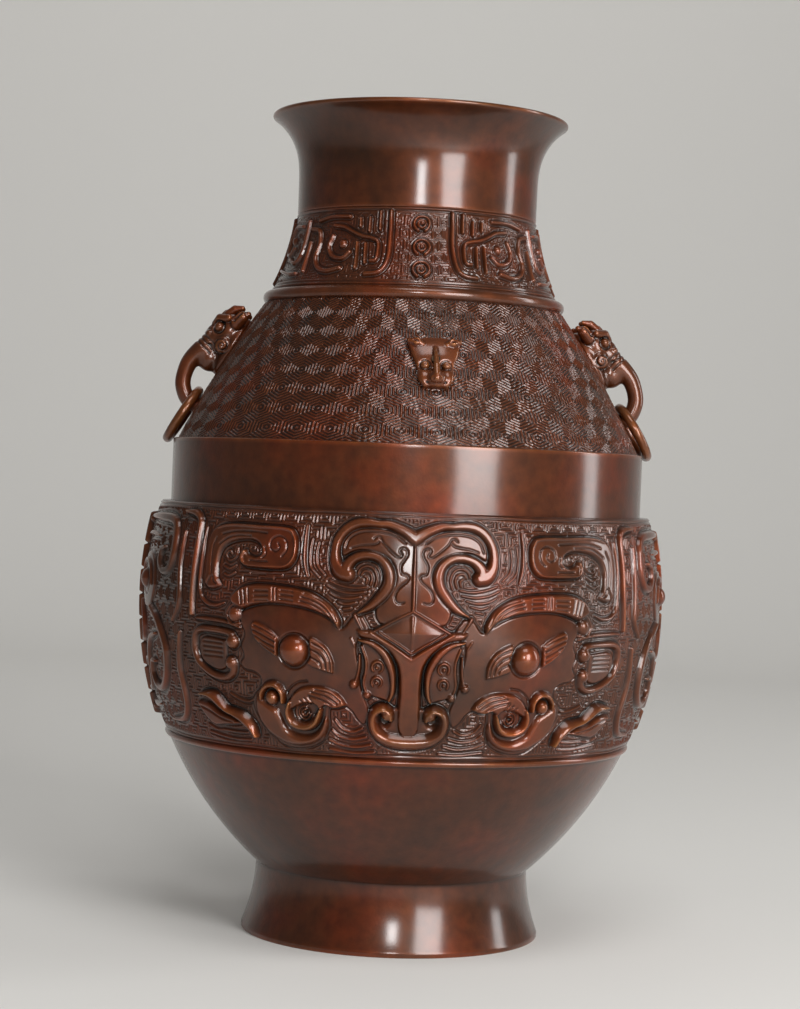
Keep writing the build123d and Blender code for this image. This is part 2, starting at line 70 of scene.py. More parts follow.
def linear(code):
    """Linear colour with alpha from an sRGB hex value."""
    parts = [int(code[i:i + 2], 16) / 255 for i in (1, 3, 5)]
    return tuple(c / 12.92 if c <= 0.04045 else ((c + 0.055) / 1.055) ** 2.4 for c in parts) + (1.0,)


def length(label, note, millimetres):
    """Length property whose default is written in millimetres."""
    return FloatProperty(name=label, description=note, default=millimetres * MM, unit="LENGTH", precision=5)


def colour(label, note, code):
    """Colour property whose default is written as an sRGB hex value."""
    return FloatVectorProperty(
        name=label, description=note, default=linear(code), size=4, min=0.0, max=1.0, subtype="COLOR"
    )


def in_degrees(label, note, degrees):
    """Angle property whose default is written in degrees."""
    return FloatProperty(name=label, description=note, default=math.radians(degrees), subtype="ANGLE")


def watts(label, note, power):
    """Property for the power of a lamp."""
    return FloatProperty(name=label, description=note + ", in watts", default=power)


class HuOutline(PropertyGroup):
    """Sizes of the turned outline, from the table up."""

    foot_height: length("Foot height", "Table to the foot's waist", 24.8)
    lower_belly_height: length("Lower belly height", "Foot's waist to the bead", 45.8)
    lower_bead_height: length("Lower bead height", "Bead under the mask band", 2.2)
    mask_band_height: length("Mask band height", "Belly band with the masks", 83.4)
    collar_height: length("Collar height", "Plain collar over the mask band", 22.8)
    shoulder_height: length("Shoulder height", "Diapered slope of the shoulder", 51.0)
    neck_bead_height: length("Neck bead height", "Bead between shoulder and neck", 4.3)
    neck_band_height: length("Neck band height", "Dragon band on the neck", 29.0)
    mouth_height: length("Mouth height", "Plain neck and flared lip", 36.7)
    foot_radius: length("Foot radius", "Foot ring at the table", 54.8)
    waist_radius: length("Waist radius", "Foot's narrowest place", 50.2)
    lower_belly_radius: length("Lower belly radius", "Lower belly under the bead", 84.0)
    mask_base_radius: length("Mask band base radius", "Mask band at its lower edge", 84.8)
    mask_top_radius: length("Mask band top radius", "Mask band at its ledge", 89.6)
    collar_radius: length("Collar radius", "Plain collar", 86.6)
    shoulder_radius: length("Shoulder radius", "Shoulder at the collar", 84.6)
    bead_radius: length("Neck bead radius", "Shoulder at the neck bead", 54.6)
    neck_base_radius: length("Neck band radius", "Neck band at its lower edge", 52.3)
    neck_radius: length("Neck radius", "Plain neck under the flare", 44.1)
    lip_radius: length("Lip radius", "Outer edge of the lip", 54.6)
    wall: length("Wall", "Thickness of the casting", 3.0)
    lip_thickness: length("Lip thickness", "Round nose of the lip", 1.7)


class HuOrnament(PropertyGroup):
    """Depths and counts of the cast ornament."""

    relief: FloatProperty(
        name="Mask relief", description="Factor on the height of the mask's forms",
        default=1.0, min=0.2, max=1.5
    )
    fret_height: length("Fret height", "Height of the squared spiral ground", 0.62)
    fret_pitch: length("Fret pitch", "Spacing of the ground's lines", 1.3)
    diaper_height: length("Diaper height", "Height of the hexagon lines", 0.34)
    diaper_count: IntProperty(
        name="Diaper cells", description="Hexagons round the shoulder", default=42, min=12
    )
    diaper_rows: IntProperty(
        name="Diaper rows", description="Rows of hexagons up the shoulder", default=7, min=2
    )
    handle_height: length("Handle seat height", "Seat of the beast handles", 205.0)
    head_height: length("Head seat height", "Seat of the small beast heads", 206.5)
    head_offset: in_degrees("Head offset", "Small heads' angle off the mask's centre", 4.2)
    ring_radius: length("Ring radius", "Middle of the ring's wire", 10.4)
    ring_wire: length("Ring wire", "Thickness of the ring's wire", 3.6)
    ring_lean: in_degrees("Ring lean", "Ring's angle out from straight down", 31.45)


class HuFinish(PropertyGroup):
    """Colours of the finishes."""

    # Darkest tone of the relief's ramp: wax and grime in the hollows, and painted shade there as well
    recess: colour("Recess", "Dark wax and grime in the hollows", "#0e0704")
    ground: colour("Ground", "Brown patina of the plain skin", "#411e0b")
    raised: colour("Raised", "Reddish patina on the forms", "#633115")
    rubbed: colour("Rubbed", "Metal rubbed through on the edges", "#8b562a")
    cloud: colour("Cloud", "Cooler, more olive clouds in the patina", "#261b10")
    warmth: colour("Warmth", "Tint of the redder clouds, where the patina is thin", "#e6b080")
    plate: colour("Plate", "Hammered bottom plate", "#4a3a2a")
    solder: colour("Solder", "Dull grey solder", "#6f6c66")
    solder_dark: colour("Dark solder", "Wrinkles of the solder", "#3d3b38")
    paper: colour("Backdrop", "Pale studio paper", "#dcdad6")
    air: colour("Surrounding", "Pale light of the room", "#f4f3f0")


class HuStage(PropertyGroup):
    """Camera and lights of the studio."""

    distance: length("Camera distance", "Camera to the vessel's axis", 872.6)
    eye: length("Eye height", "Camera over the table", 167.5)
    aim_side: length("Aim aside", "Aim point to the camera's right of the axis", -2.04)
    aim_height: length("Aim height", "Aim point over the table", 157.66)
    azimuth: in_degrees("Camera azimuth", "Camera's turn to the left of the front", 2.4)
    roll: in_degrees("Camera roll", "Lean of the picture", 2.3)
    lens: FloatProperty(
        name="Focal length", description="Lens in millimetres on a frame 36 mm high", default=83.87, min=1.0
    )
    key: watts("Key light", "Soft box to the camera's right", 15.0)
    front: watts("Front light", "Small box over the camera", 4.0)
    fill: watts("Fill light", "Soft box to the camera's left", 1.5)
    edge: watts("Edge light", "Strip behind the right side", 4.0)
    top: watts("Top light", "Soft box overhead", 6.0)
    backdrop: watts("Backdrop light", "Box that lights the paper behind", 9.0)
    world: FloatProperty(name="World", description="Strength of the pale surrounding", default=0.15)


# Curves and outlines

def bow(start, end, bulge, shares):
    """Points and outward normals, as radius and height, on the arc that bows out from a chord by bulge."""
    start = np.array(start, float)
    chord = np.array(end, float) - start
    span = np.hypot(chord[0], chord[1])
    along = chord / span
    out = np.array((along[1], -along[0]))
    shares = np.asarray(shares, float)[:, None]
    if bulge == 0:
        return start + chord * shares, np.repeat(out[None], len(shares), 0)
    radius = (span ** 2 / 4 + bulge ** 2) / (2 * abs(bulge))
    side = math.copysign(1.0, bulge)
    centre = start + chord / 2 + out * (bulge - side * radius)
    angles = (shares - 0.5) * 2 * math.asin(min(1.0, span / 2 / radius))
    away = side * out * np.cos(angles) + along * np.sin(angles)
    return centre + radius * away, side * away


def arc_points(centre, radius, start, end, count):
    """Points on a circle between two angles in degrees."""
    angles = np.radians(np.linspace(start, end, count))
    return np.stack((centre[0] + radius * np.cos(angles), centre[1] + radius * np.sin(angles)), axis=1)


def flowing(points, steps=6):
    """Smooth line through control points, whatever number of values each has."""
    points = np.array(points, float)
    if len(points) < 3:
        return points
    ends = np.vstack((2 * points[:1] - points[1:2], points, 2 * points[-1:] - points[-2:-1]))
    a, b, c, d = ends[:-3], ends[1:-2], ends[2:-1], ends[3:]
    t = (np.arange(steps) / steps)[None, :, None]
    a, b, c, d = (v[:, None] for v in (a, b, c, d))
    bend = (2 * a - 5 * b + 4 * c - d) * t ** 2 + (3 * b - a - 3 * c + d) * t ** 3
    line = 0.5 * (2 * b + (c - a) * t + bend)
    return np.vstack((line.reshape(-1, points.shape[1]), points[-1:]))


def eased(path, reach):
    """Polyline with its sharp corners rounded over a reach to both sides."""
    # Gentler bends stay as they are, and a rounding takes at most this share of a side
    gentle = math.radians(20)
    most = 0.45
    result = [path[0]]
    for before, corner, after in zip(path[:-2], path[1:-1], path[2:]):
        to_before = before - corner
        to_after = after - corner
        one = np.hypot(*to_before)
        two = np.hypot(*to_after)
        if one < 1e-6 or two < 1e-6:
            continue
        bend = math.acos(max(-1.0, min(1.0, -np.dot(to_before, to_after) / one / two)))
        if bend < gentle:
            result.append(corner)
            continue
        first = corner + to_before / one * min(reach, most * one)
        last = corner + to_after / two * min(reach, most * two)
        for t in np.linspace(0, 1, 5):
            result.append((1 - t) ** 2 * first + 2 * t * (1 - t) * corner + t ** 2 * last)
    result.append(path[-1])
    return np.array(result)


class Outline:
    """The vessel's zones in millimetres, each an arc given by its two ends and its bulge."""

    ORDER = ("foot", "lower_belly", "lower_bead", "mask_band", "collar", "shoulder", "neck_bead",
             "neck_band", "mouth")
    # How far each zone bows out from its chord
    BULGE = {"foot": -1.1, "lower_belly": 3.0, "mask_band": 6.7, "collar": 0, "shoulder": 1.2,
             "neck_band": -1.4}
    FOOT_EDGE = 1.6
    NECK_STEP = 0.5
    # Lean of the lip in degrees, the straight run under the flare and the length over which it sets in
    LIP_LEAN = 58.0
    NECK_RUN = 5.0
    FLARE_ONSET = 7.0

    def __init__(self, sizes):
        self.value = lambda name: getattr(sizes, name) / MM
        base = [0.0]
        for zone in self.ORDER:
            base.append(base[-1] + self.value(zone + "_height"))
        self.base = dict(zip(self.ORDER + ("top",), base))
        v, b, bulge = self.value, self.base, self.BULGE
        waist = (v("waist_radius"), b["lower_belly"])
        belly = (v("lower_belly_radius"), b["lower_bead"])
        collar = v("collar_radius")
        mask = (v("mask_base_radius"), b["mask_band"])
        bead = (v("bead_radius"), b["neck_bead"])
        neck = (v("neck_base_radius"), b["neck_band"])
        self.arcs = {
            "foot": ((v("foot_radius"), self.FOOT_EDGE), waist, bulge["foot"]),
            "lower_belly": (waist, belly, bulge["lower_belly"]),
            "lower_bead": (belly, mask, v("lower_bead_height") / 2),
            "mask_band": (mask, (v("mask_top_radius"), b["collar"]), bulge["mask_band"]),
            "collar": ((collar, b["collar"]), (collar, b["shoulder"]), bulge["collar"]),
            "shoulder": ((v("shoulder_radius"), b["shoulder"]), bead, bulge["shoulder"]),
            "neck_bead": (bead, neck, v("neck_bead_height") / 2),
            "neck_band": (neck, (v("neck_radius") - self.NECK_STEP, b["mouth"]), bulge["neck_band"]),
        }

    def line(self, zone, low, high, count, sunk=0.0):
        """Points along a zone between two shares of its arc, sunk into the wall."""
        points, normals = bow(*self.arcs[zone], np.linspace(low, high, count))
        return points - sunk * normals

    def mouth(self):
        """Outer neck and flare, round lip and inner flare, down to the upright inside of the neck."""
        v = self.value
        half = v("lip_thickness") / 2
        lean = self.LIP_LEAN
        slope = math.radians(lean)
        lip = np.array((v("lip_radius") - half, self.base["top"] - half))
        across = half * np.array((math.cos(slope), -math.sin(slope)))
        pieces = []
        for end, neck in ((lip + across, v("neck_radius")), (lip - across, v("neck_radius") - v("wall"))):
            radius = (end[0] - neck) / (1 - math.cos(slope))
            reach = radius * math.sin(slope)
            height = np.linspace(self.base["mouth"] + self.NECK_RUN, end[1], 44)
            # The bend sets in slowly, so that a gloss on the neck tapers off into the flare
            past = np.append(height - end[1] + reach, reach)
            past = past + np.sqrt(past ** 2 + self.FLARE_ONSET ** 2)
            past = past[:-1] * reach / past[-1]
            pieces.append(np.stack((neck + radius - np.sqrt(radius ** 2 - past ** 2), height), axis=1))
        nose = arc_points(lip, half, -lean, 180 - lean, 13)
        return np.vstack((pieces[0], nose[1:-1], pieces[1][::-1]))

    def inside(self):
        """Inside of the casting from the neck down to the edge over the bottom plate."""
        wall = self.value("wall")
        stops = (("neck_band", 0.5), ("shoulder", 0.95), ("shoulder", 0.5), ("shoulder", 0.1),
                 ("collar", 0.4), ("mask_band", 0.7), ("mask_band", 0.35), ("lower_belly", 0.9),
                 ("lower_belly", 0.5), ("lower_belly", 0.0))
        points = [(self.value("neck_radius") - wall, self.base["mouth"] - 1.0)]
        for zone, share in stops:
            points.append(self.line(zone, share, share, 1, wall)[0])
        return flowing(points, 8)

    def seat(self, height, angle):
        """Matrix in millimetres of a frame on the shoulder: across, up the wall and out of it."""
        shares = np.linspace(0, 1, 400)
        points, normals = bow(*self.arcs["shoulder"], shares)
        radius, out_r, out_z = (np.interp(height, points[:, 1], row) for row in
                                (points[:, 0], normals[:, 0], normals[:, 1]))
        radial = Vector((math.sin(angle), -math.cos(angle), 0))
        across = Vector((math.cos(angle), math.sin(angle), 0))
        rise = Vector((0, 0, 1))
        up = rise * out_r - radial * out_z
        out = radial * out_r + rise * out_z
        place = radial * radius + rise * height
        return matrix_of(across, up, out, place)


def matrix_of(across, up, out, place):
    """Matrix with the given axes and place."""
    result = Matrix.Identity(4)
    for column, axis in enumerate((across, up, out, place)):
        result.col[column][:3] = axis
    return result


# Meshes

def signed_volume(points, faces):
    """Six times the volume inside faces, negative where they are turned inside out."""
    a, b, c = (points[faces[:, i]] for i in (0, 1, 2))
    total = np.einsum("ij,ij->", a, np.cross(b, c))
    if faces.shape[1] == 4:
        d = points[faces[:, 3]]
        total += np.einsum("ij,ij->", a, np.cross(c, d))
    return total


def mesh_piece(name, points, faces, material, unwrapped=None, relief=None):
    """Smooth mesh object from points in millimetres, with its relief as an attribute."""
    if signed_volume(points, faces) < 0:
        faces = faces[:, ::-1]
        unwrapped = None if unwrapped is None else unwrapped[:, ::-1]
    count, corners = faces.shape
    mesh = bpy.data.meshes.new(name)
    mesh.vertices.add(len(points))
    mesh.vertices.foreach_set("co", (points * MM).astype(np.float32).ravel())
    mesh.loops.add(count * corners)
    mesh.loops.foreach_set("vertex_index", faces.astype(np.int32).ravel())
    mesh.polygons.add(count)
    mesh.polygons.foreach_set("loop_start", np.arange(0, count * corners, corners, dtype=np.int32))
    if unwrapped is not None:
        layer = mesh.uv_layers.new(name="OFBake")
        layer.uv.foreach_set("vector", unwrapped.astype(np.float32).ravel())
    if relief is not None:
        values = mesh.attributes.new("relief", "FLOAT", "POINT").data
        values.foreach_set("value", relief.astype(np.float32).ravel())
    mesh.update(calc_edges=True)
    mesh.validate()
    mesh.shade_smooth()
    mesh.materials.append(material)
    piece = bpy.data.objects.new(name, mesh)
    bpy.context.scene.collection.objects.link(piece)
    return piece


def ring_lattice(points, strips=1):
    """Faces and map places of a lattice that closes on itself in rows and columns."""
    rows, columns = points.shape[:2]
    i, j = np.meshgrid(np.arange(rows), np.arange(columns), indexing="ij")
    after = (i + 1) % rows
    right = (j + 1) % columns
    corners = (i * columns + j, i * columns + right, after * columns + right, after * columns + j)
    faces = np.stack(corners, axis=-1)
    wide = columns // strips
    strip = np.minimum(j // wide, strips - 1)
    u0 = (j - strip * wide) / wide
    u1 = u0 + 1 / wide
    margin = 0.01
    v0 = (strip + margin + (1 - 2 * margin) * i / rows) / strips
    v1 = (strip + margin + (1 - 2 * margin) * (i + 1) / rows) / strips
    places = np.stack((u0, v0, u1, v0, u1, v1, u0, v1), axis=-1).reshape(-1, 4, 2)
    return faces.reshape(-1, 4), np.clip(places, 0.0, 1.0)


def round_place(radius, height, angle):
    """Points at a radius and height, at an angle that counts from the front towards +X."""
    return np.stack(np.broadcast_arrays(radius * np.sin(angle), -radius * np.cos(angle), height), axis=-1)


def convexity(path, reach):
    """How far each point of a closed outline stands out from its neighbours at a reach along it."""
    closed = np.vstack((path, path[:1]))
    steps = np.hypot(*np.diff(closed, axis=0).T)
    run = np.concatenate(((0.0,), np.cumsum(steps)))
    total = run[-1]

    def at(places):
        places = np.mod(places, total)
        return np.stack([np.interp(places, run, closed[:, k]) for k in (0, 1)], axis=1)

    ahead = at(run[:-1] + reach)
    behind = at(run[:-1] - reach)
    along = ahead - behind
    out = np.stack((along[:, 1], -along[:, 0]), axis=1) / np.maximum(np.hypot(*along.T), 1e-9)[:, None]
    return np.einsum("ij,ij->i", path - (ahead + behind) / 2, out)


def wander(angle, height, size, seed):
    """Slow, seeded irregularity of hand work round the vessel, about plus or minus one."""
    pick = np.random.default_rng(SEED + seed)
    total = 0.0
    for turn in (2, 3, 5, 8, 13, 21):
        phase = pick.uniform(0, 2 * math.pi, 3)
        rise = np.sin(height / size * (1 + turn / 9) + phase[1])
        total = total + np.sin(turn * angle + phase[0]) * rise
    return total / 3


# Relief drawn in millimetres: s along the band from a mask's centre line, z over the table

class ReliefBoard:
    """Height map of one quarter of a band, drawn with ribbons, plates, domes and cut lines."""

    # Size of a cell of the map, and room past the quarter's two ends
    PITCH = 0.2
    MARGIN = 6.0
    # Standing-out share of level metal, and its change per millimetre under and over it and with height; a
    # low share paints the hollows dark as wax and painted shade, a high one the forms as rubbed metal
    LEVEL, UNDER, OVER, HIGH = 0.46, 0.36, 0.27, 0.05
    # Height of the ground's lines, and the share that the deepest hollows keep
    GROUND, DEEPEST = 0.6, 0.12
    # Passes of softening that leave only the broad forms
    BROAD = 34

    def __init__(self, s_end, z_low, z_high):
        self.s0 = -self.MARGIN
        self.z0 = z_low
        columns = int((s_end + self.MARGIN - self.s0) / self.PITCH) + 1
        rows = int((z_high - z_low) / self.PITCH) + 2
        self.s, self.z = np.meshgrid(self.s0 + self.PITCH * np.arange(columns),
                                     self.z0 + self.PITCH * np.arange(rows))
        self.height = np.zeros_like(self.s)
        self.drawn = np.zeros(self.s.shape, bool)

    def window(self, path, margin):
        """Slices of the map round a path."""
        low = path[:, :2].min(axis=0) - margin
        high = path[:, :2].max(axis=0) + margin
        columns, rows = (
            slice(max(0, int((a - start) / self.PITCH)), max(0, int((b - start) / self.PITCH) + 2))
            for a, b, start in zip(low, high, (self.s0, self.z0))
        )
        return rows, columns

    def gap_to(self, place, a, b):
        """Distance to the line from a to b, and the share of the way along it."""
        s, z = self.s[place], self.z[place]
        along = b - a
        t = ((s - a[0]) * along[0] + (z - a[1]) * along[1]) / max(np.dot(along, along), 1e-9)
        t = np.clip(t, 0, 1)
        return np.hypot(s - a[0] - t * along[0], z - a[1] - t * along[1]), t

    def reach(self, path, widths, place):
        """Distance to a path as a share of its half width there."""
        nearest = np.full(self.s[place].shape, 9.0)
        for a, b, wa, wb in zip(path[:-1], path[1:], widths[:-1], widths[1:]):
            gap, t = self.gap_to(place, a, b)
            nearest = np.minimum(nearest, gap / (0.5 * (wa + t * (wb - wa))))
        return nearest

    def raise_to(self, place, rise):
        """Lift the map to a form, and keep its ground clear."""
        self.height[place] = np.maximum(self.height[place], rise)
        self.drawn[place] |= rise > 0.02

    def ribbon(self, points, width, height, flat=0.25, smooth=True):
        """Raised band along a path, rounded over, with a flat share of its width."""
        points = np.array(points, float)
        widths = np.broadcast_to(np.asarray(width, float), (len(points),))
        path = np.column_stack((points, widths))
        path = flowing(path) if smooth else path
        place = self.window(path, path[:, 2].max())
        share = self.reach(path[:, :2], path[:, 2], place)
        rise = height * np.sin(np.clip((1 - share) / (1 - flat), 0, 1) * math.pi / 2)
        self.raise_to(place, rise)

    def plate(self, points, height, edge=0.6, smooth=True):
        """Raised field inside a closed outline, with a rounded edge."""
        outline = np.array(list(points) + list(points[:1]), float)
        outline = flowing(outline) if smooth else outline
        place = self.window(outline, 1.0)
        s, z = self.s[place], self.z[place]
        inside = np.zeros(s.shape, bool)
        gap = np.full(s.shape, 99.0)
        for a, b in zip(outline[:-1], outline[1:]):
            along = b - a
            if abs(along[1]) > 1e-9:
                crossing = ((a[1] > z) != (b[1] > z)) & (s < a[0] + (z - a[1]) * along[0] / along[1])
                inside ^= crossing
            gap = np.minimum(gap, self.gap_to(place, a, b)[0])
        rise = np.where(inside, height * np.sin(np.clip(gap / edge, 0, 1) * math.pi / 2), 0.0)
        self.raise_to(place, rise)

    def disc(self, s, z, radius):
        """Place of a disc on the map, and the distance from its centre as a share of its radius."""
        path = np.array(((s - radius, z - radius), (s + radius, z + radius)))
        place = self.window(path, 0.5)
        return place, np.hypot(self.s[place] - s, self.z[place] - z) / radius

    def dome(self, s, z, radius, height):
        """Raised ball."""
        place, share = self.disc(s, z, radius)
        self.raise_to(place, height * np.sqrt(np.clip(1 - share ** 2, 0, 1)))

    def cut(self, points, width, depth, smooth=True):
        """Engraved line."""
        path = np.array(points, float)
        path = flowing(path) if smooth else path
        place = self.window(path, width)
        share = self.reach(path, np.full(len(path), width), place)
        self.height[place] -= depth * np.cos(np.clip(share, 0, 1) * math.pi / 2) ** 2

    def ribbons(self, lines, width, height):
        """Raised bands of one width and height."""
        for line in lines:
            self.ribbon(line, width, height)

    def cuts(self, lines, width, depth):
        """Engraved lines of one width and depth."""
        for line in lines:
            self.cut(line, width, depth)

    def pit(self, s, z, radius, depth):
        """Round hollow."""
        place, share = self.disc(s, z, radius)
        self.height[place] -= depth * np.cos(np.clip(share, 0, 1) * math.pi / 2) ** 2

    def swell(self, s, z, wide, high, amount):
        """Soft swelling of what is already there."""
        bump = np.exp(-((self.s - s) / wide) ** 2 - ((self.z - z) / high) ** 2)
        self.height += np.where(self.height > 0.05, amount * bump, 0.0)

    def fret(self, tile, pitch, height):
        """Ground of squared spirals between the forms, with one line that follows the forms."""
        # Distances from a form: bare ground, the line that follows it and its half width, then spirals
        bare, follow, half, past = 0.4, 1.0, 0.32, 1.5
        searched, far = 2.0, 3.0
        near = np.full(self.s.shape, far)
        spread = self.drawn.copy()
        near[spread] = 0.0
        for step in range(1, int(searched / self.PITCH) + 1):
            grown = spread.copy()
            grown[1:] |= spread[:-1]
            grown[:-1] |= spread[1:]
            grown[:, 1:] |= spread[:, :-1]
            grown[:, :-1] |= spread[:, 1:]
            near[grown & ~spread] = step * self.PITCH
            spread = grown
        row = np.floor((self.z - self.z0) / tile[1])
        offset = np.where(row % 2 == 0, 0.0, tile[0] / 2)
        column = np.floor((self.s + offset) / tile[0])
        x = self.s + offset - (column + 0.5) * tile[0]
        y = self.z - self.z0 - (row + 0.5) * tile[1]
        x = np.where((row + column) % 2 == 0, x, -x)
        y = np.where(column % 2 == 0, y, -y) * tile[0] / tile[1]
        side = np.where(np.abs(x) >= np.abs(y), np.where(x > 0, 0, 2), np.where(y > 0, 1, 3))
        turn = np.maximum(np.abs(x), np.abs(y)) / pitch - side / 4
        lines = 0.5 + 0.5 * np.cos(2 * math.pi * turn)
        rim = np.exp(-((near - follow) / half) ** 2)
        ground = np.where(near < past, rim, np.clip(lines * 1.6 - 0.3, 0, 1))
        ground = np.where(near < bare, 0.0, ground)
        self.height = np.maximum(self.height, height * ground)

    @staticmethod
    def softened(values, passes):
        """Map with its edges softened, as casting and handling leave them."""
        for _ in range(passes):
            padded = np.pad(values, 1, mode="edge")
            values = (padded[1:-1, :-2] + 2 * values + padded[1:-1, 2:]) / 4
            padded = np.pad(values, 1, mode="edge")
            values = (padded[:-2, 1:-1] + 2 * values + padded[2:, 1:-1]) / 4
        return values

    def settle(self):
        """Soften the map and work out how far each place stands out from its surroundings."""
        self.height = self.softened(self.height, 1)
        # Hollows beside the forms get a low share, which the finish paints dark: wax in them and painted
        # shade
        proud = self.height - self.softened(self.height, self.BROAD)
        stand = self.LEVEL + np.where(proud < 0, self.UNDER, self.OVER) * proud
        self.stand = np.clip(stand + self.HIGH * (self.height - self.GROUND), self.DEEPEST, 1.0)

    def read(self, values, s, z):
        """Values of a map at places, blended between its cells."""
        column = np.clip((s - self.s0) / self.PITCH, 0, values.shape[1] - 1.001)
        row = np.clip((z - self.z0) / self.PITCH, 0, values.shape[0] - 1.001)
        i = row.astype(int)
        j = column.astype(int)
        a = row - i
        b = column - j
        low = values[i, j] * (1 - b) + values[i, j + 1] * b
        high = values[i + 1, j] * (1 - b) + values[i + 1, j + 1] * b
        return low * (1 - a) + high * a


def draw_forehead(board):
    """Horns, forehead leaf and lozenge of the mask."""
    # Ground of the forehead, with a leaf scroll cut into it
    board.plate([
        (-3, 146.5), (1, 145.5), (4, 147.6), (10, 150), (17, 150.2), (22, 149), (25, 145.5), (24.8, 141),
        (20, 143), (14, 142.6), (9, 140.6), (6.6, 137.5), (6, 134), (7.2, 130.4), (9.5, 126.8),
        (12.8, 123.4), (11, 119), (5, 120), (0, 123.5), (-3, 124)
    ], 0.95, 0.5)
    board.cuts([
        [(14.5, 146.8), (13.5, 147.6), (12.4, 147.4), (11.5, 145.8), (10, 144.3), (8, 142.5), (6, 141.2),
         (4.5, 141.5), (5.5, 143.2), (4.5, 144.2), (3, 143.5), (2.7, 141.8), (3.5, 140.2), (4.5, 138.5),
         (4.6, 137), (4, 135.5), (2.6, 135.2), (1.8, 134.2), (2.5, 133), (4, 131.8), (5.5, 130.3),
         (6.3, 128.3), (6, 126.6), (4.5, 126), (3.2, 126.4)],
        [(22, 143.6), (19, 144.4), (16, 144.7), (13.6, 145.1), (12.6, 145.9)],
        [(3.6, 145.8), (7, 147.9), (12, 148.9), (17, 149), (20.5, 148.2), (23, 146.4), (24, 143.6)],
    ], 0.95, 0.6)
    # Ridge down the middle
    board.ribbon([(0, 144.5), (0, 124)], 1.2, 1.9, smooth=False)
    # Horn: its outer sweep, then the inner one that meets it in a curl
    board.ribbon([
        (-1.5, 146.8), (0, 147.4), (4, 149.8), (9, 151.6), (13, 151.7), (17, 152), (21, 151.5),
        (24.5, 149.5), (26.8, 146.3), (27.5, 142.5), (27, 138.6), (25.2, 135.8), (22.5, 134.8)
    ], [6.0, 6.0, 4.4, 3.5, 3.1, 3.6, 3.9, 4.1, 4.1, 4.1, 4.8, 6.2, 5.6], 2.2, 0.3)
    board.ribbon([
        (18.8, 122), (14.5, 124.4), (11, 127.8), (8.6, 131.5), (8.2, 135.2), (9.8, 138.8), (13, 141),
        (17, 141.4), (20.5, 140.3), (22.8, 138), (23.2, 136)
    ], [0.8, 3.0, 4.2, 4.7, 4.7, 3.9, 3.3, 3.3, 3.7, 4.6, 5.2], 2.2, 0.3)
    # Lines inside the horn's curl, then on the ground under and beside it
    board.ribbons([
        [(13, 131), (12.4, 134), (13.6, 136.9), (16, 138), (18.3, 137), (19.2, 135)],
        [(14.6, 131.5), (14.1, 134), (15.1, 135.9), (17, 136.2), (17.9, 134.8)],
        [(16.1, 132), (15.8, 133.8), (16.8, 134.5)],
    ], 0.85, 0.85)
    board.ribbons([
        [(15.5, 130.8), (20, 130.2), (25, 130.9), (29, 132.3)],
        [(16.3, 129), (21, 128.4), (26, 129.1), (30, 130.8)],
        [(18, 127.2), (22, 126.5), (26, 127), (29, 128.4)],
        [(19.6, 125.3), (23.2, 124.7), (26, 125.4)],
        [(21.3, 123.5), (24, 123.1)],
        [(30.8, 134), (33.5, 137), (34.4, 141), (34, 145)],
        [(32.8, 133.2), (36, 136.5), (36.8, 141), (36.4, 146)],
    ], 0.85, 0.8)
    # Lozenge with a raised middle, framed by ribs, and two small leaves beside it
    board.plate([(0, 123.6), (14, 115.9), (0, 107), (-14, 115.9)], 0.9, 0.5, smooth=False)
    share = np.abs(board.s) / 11.2 + np.abs(board.z - 115.9) / 6.2
    ridge = 0.35 * np.exp(-(board.s / 0.5) ** 2)
    board.raise_to(np.s_[:, :], np.where(share < 1, 0.9 + 0.8 * (1 - share ** 1.4) + ridge, 0.0))
    board.ribbon([(-14, 115.9), (0, 123.5), (14, 115.9)], 1.2, 1.6, smooth=False)
    board.ribbon([(-14, 116.1), (0, 107.4), (14, 116.1)], 1.9, 2.6, smooth=False)
    board.ribbon([(-11.2, 116.2), (0, 109.3), (11.2, 116.2)], 0.9, 1.9, smooth=False)
    board.ribbon([(19.8, 121.2), (17.2, 117)], [1.9, 0.7], 1.5, smooth=False)
    board.ribbon([(20.6, 113.8), (19.2, 111.3)], [1.3, 0.7], 1.3, smooth=False)


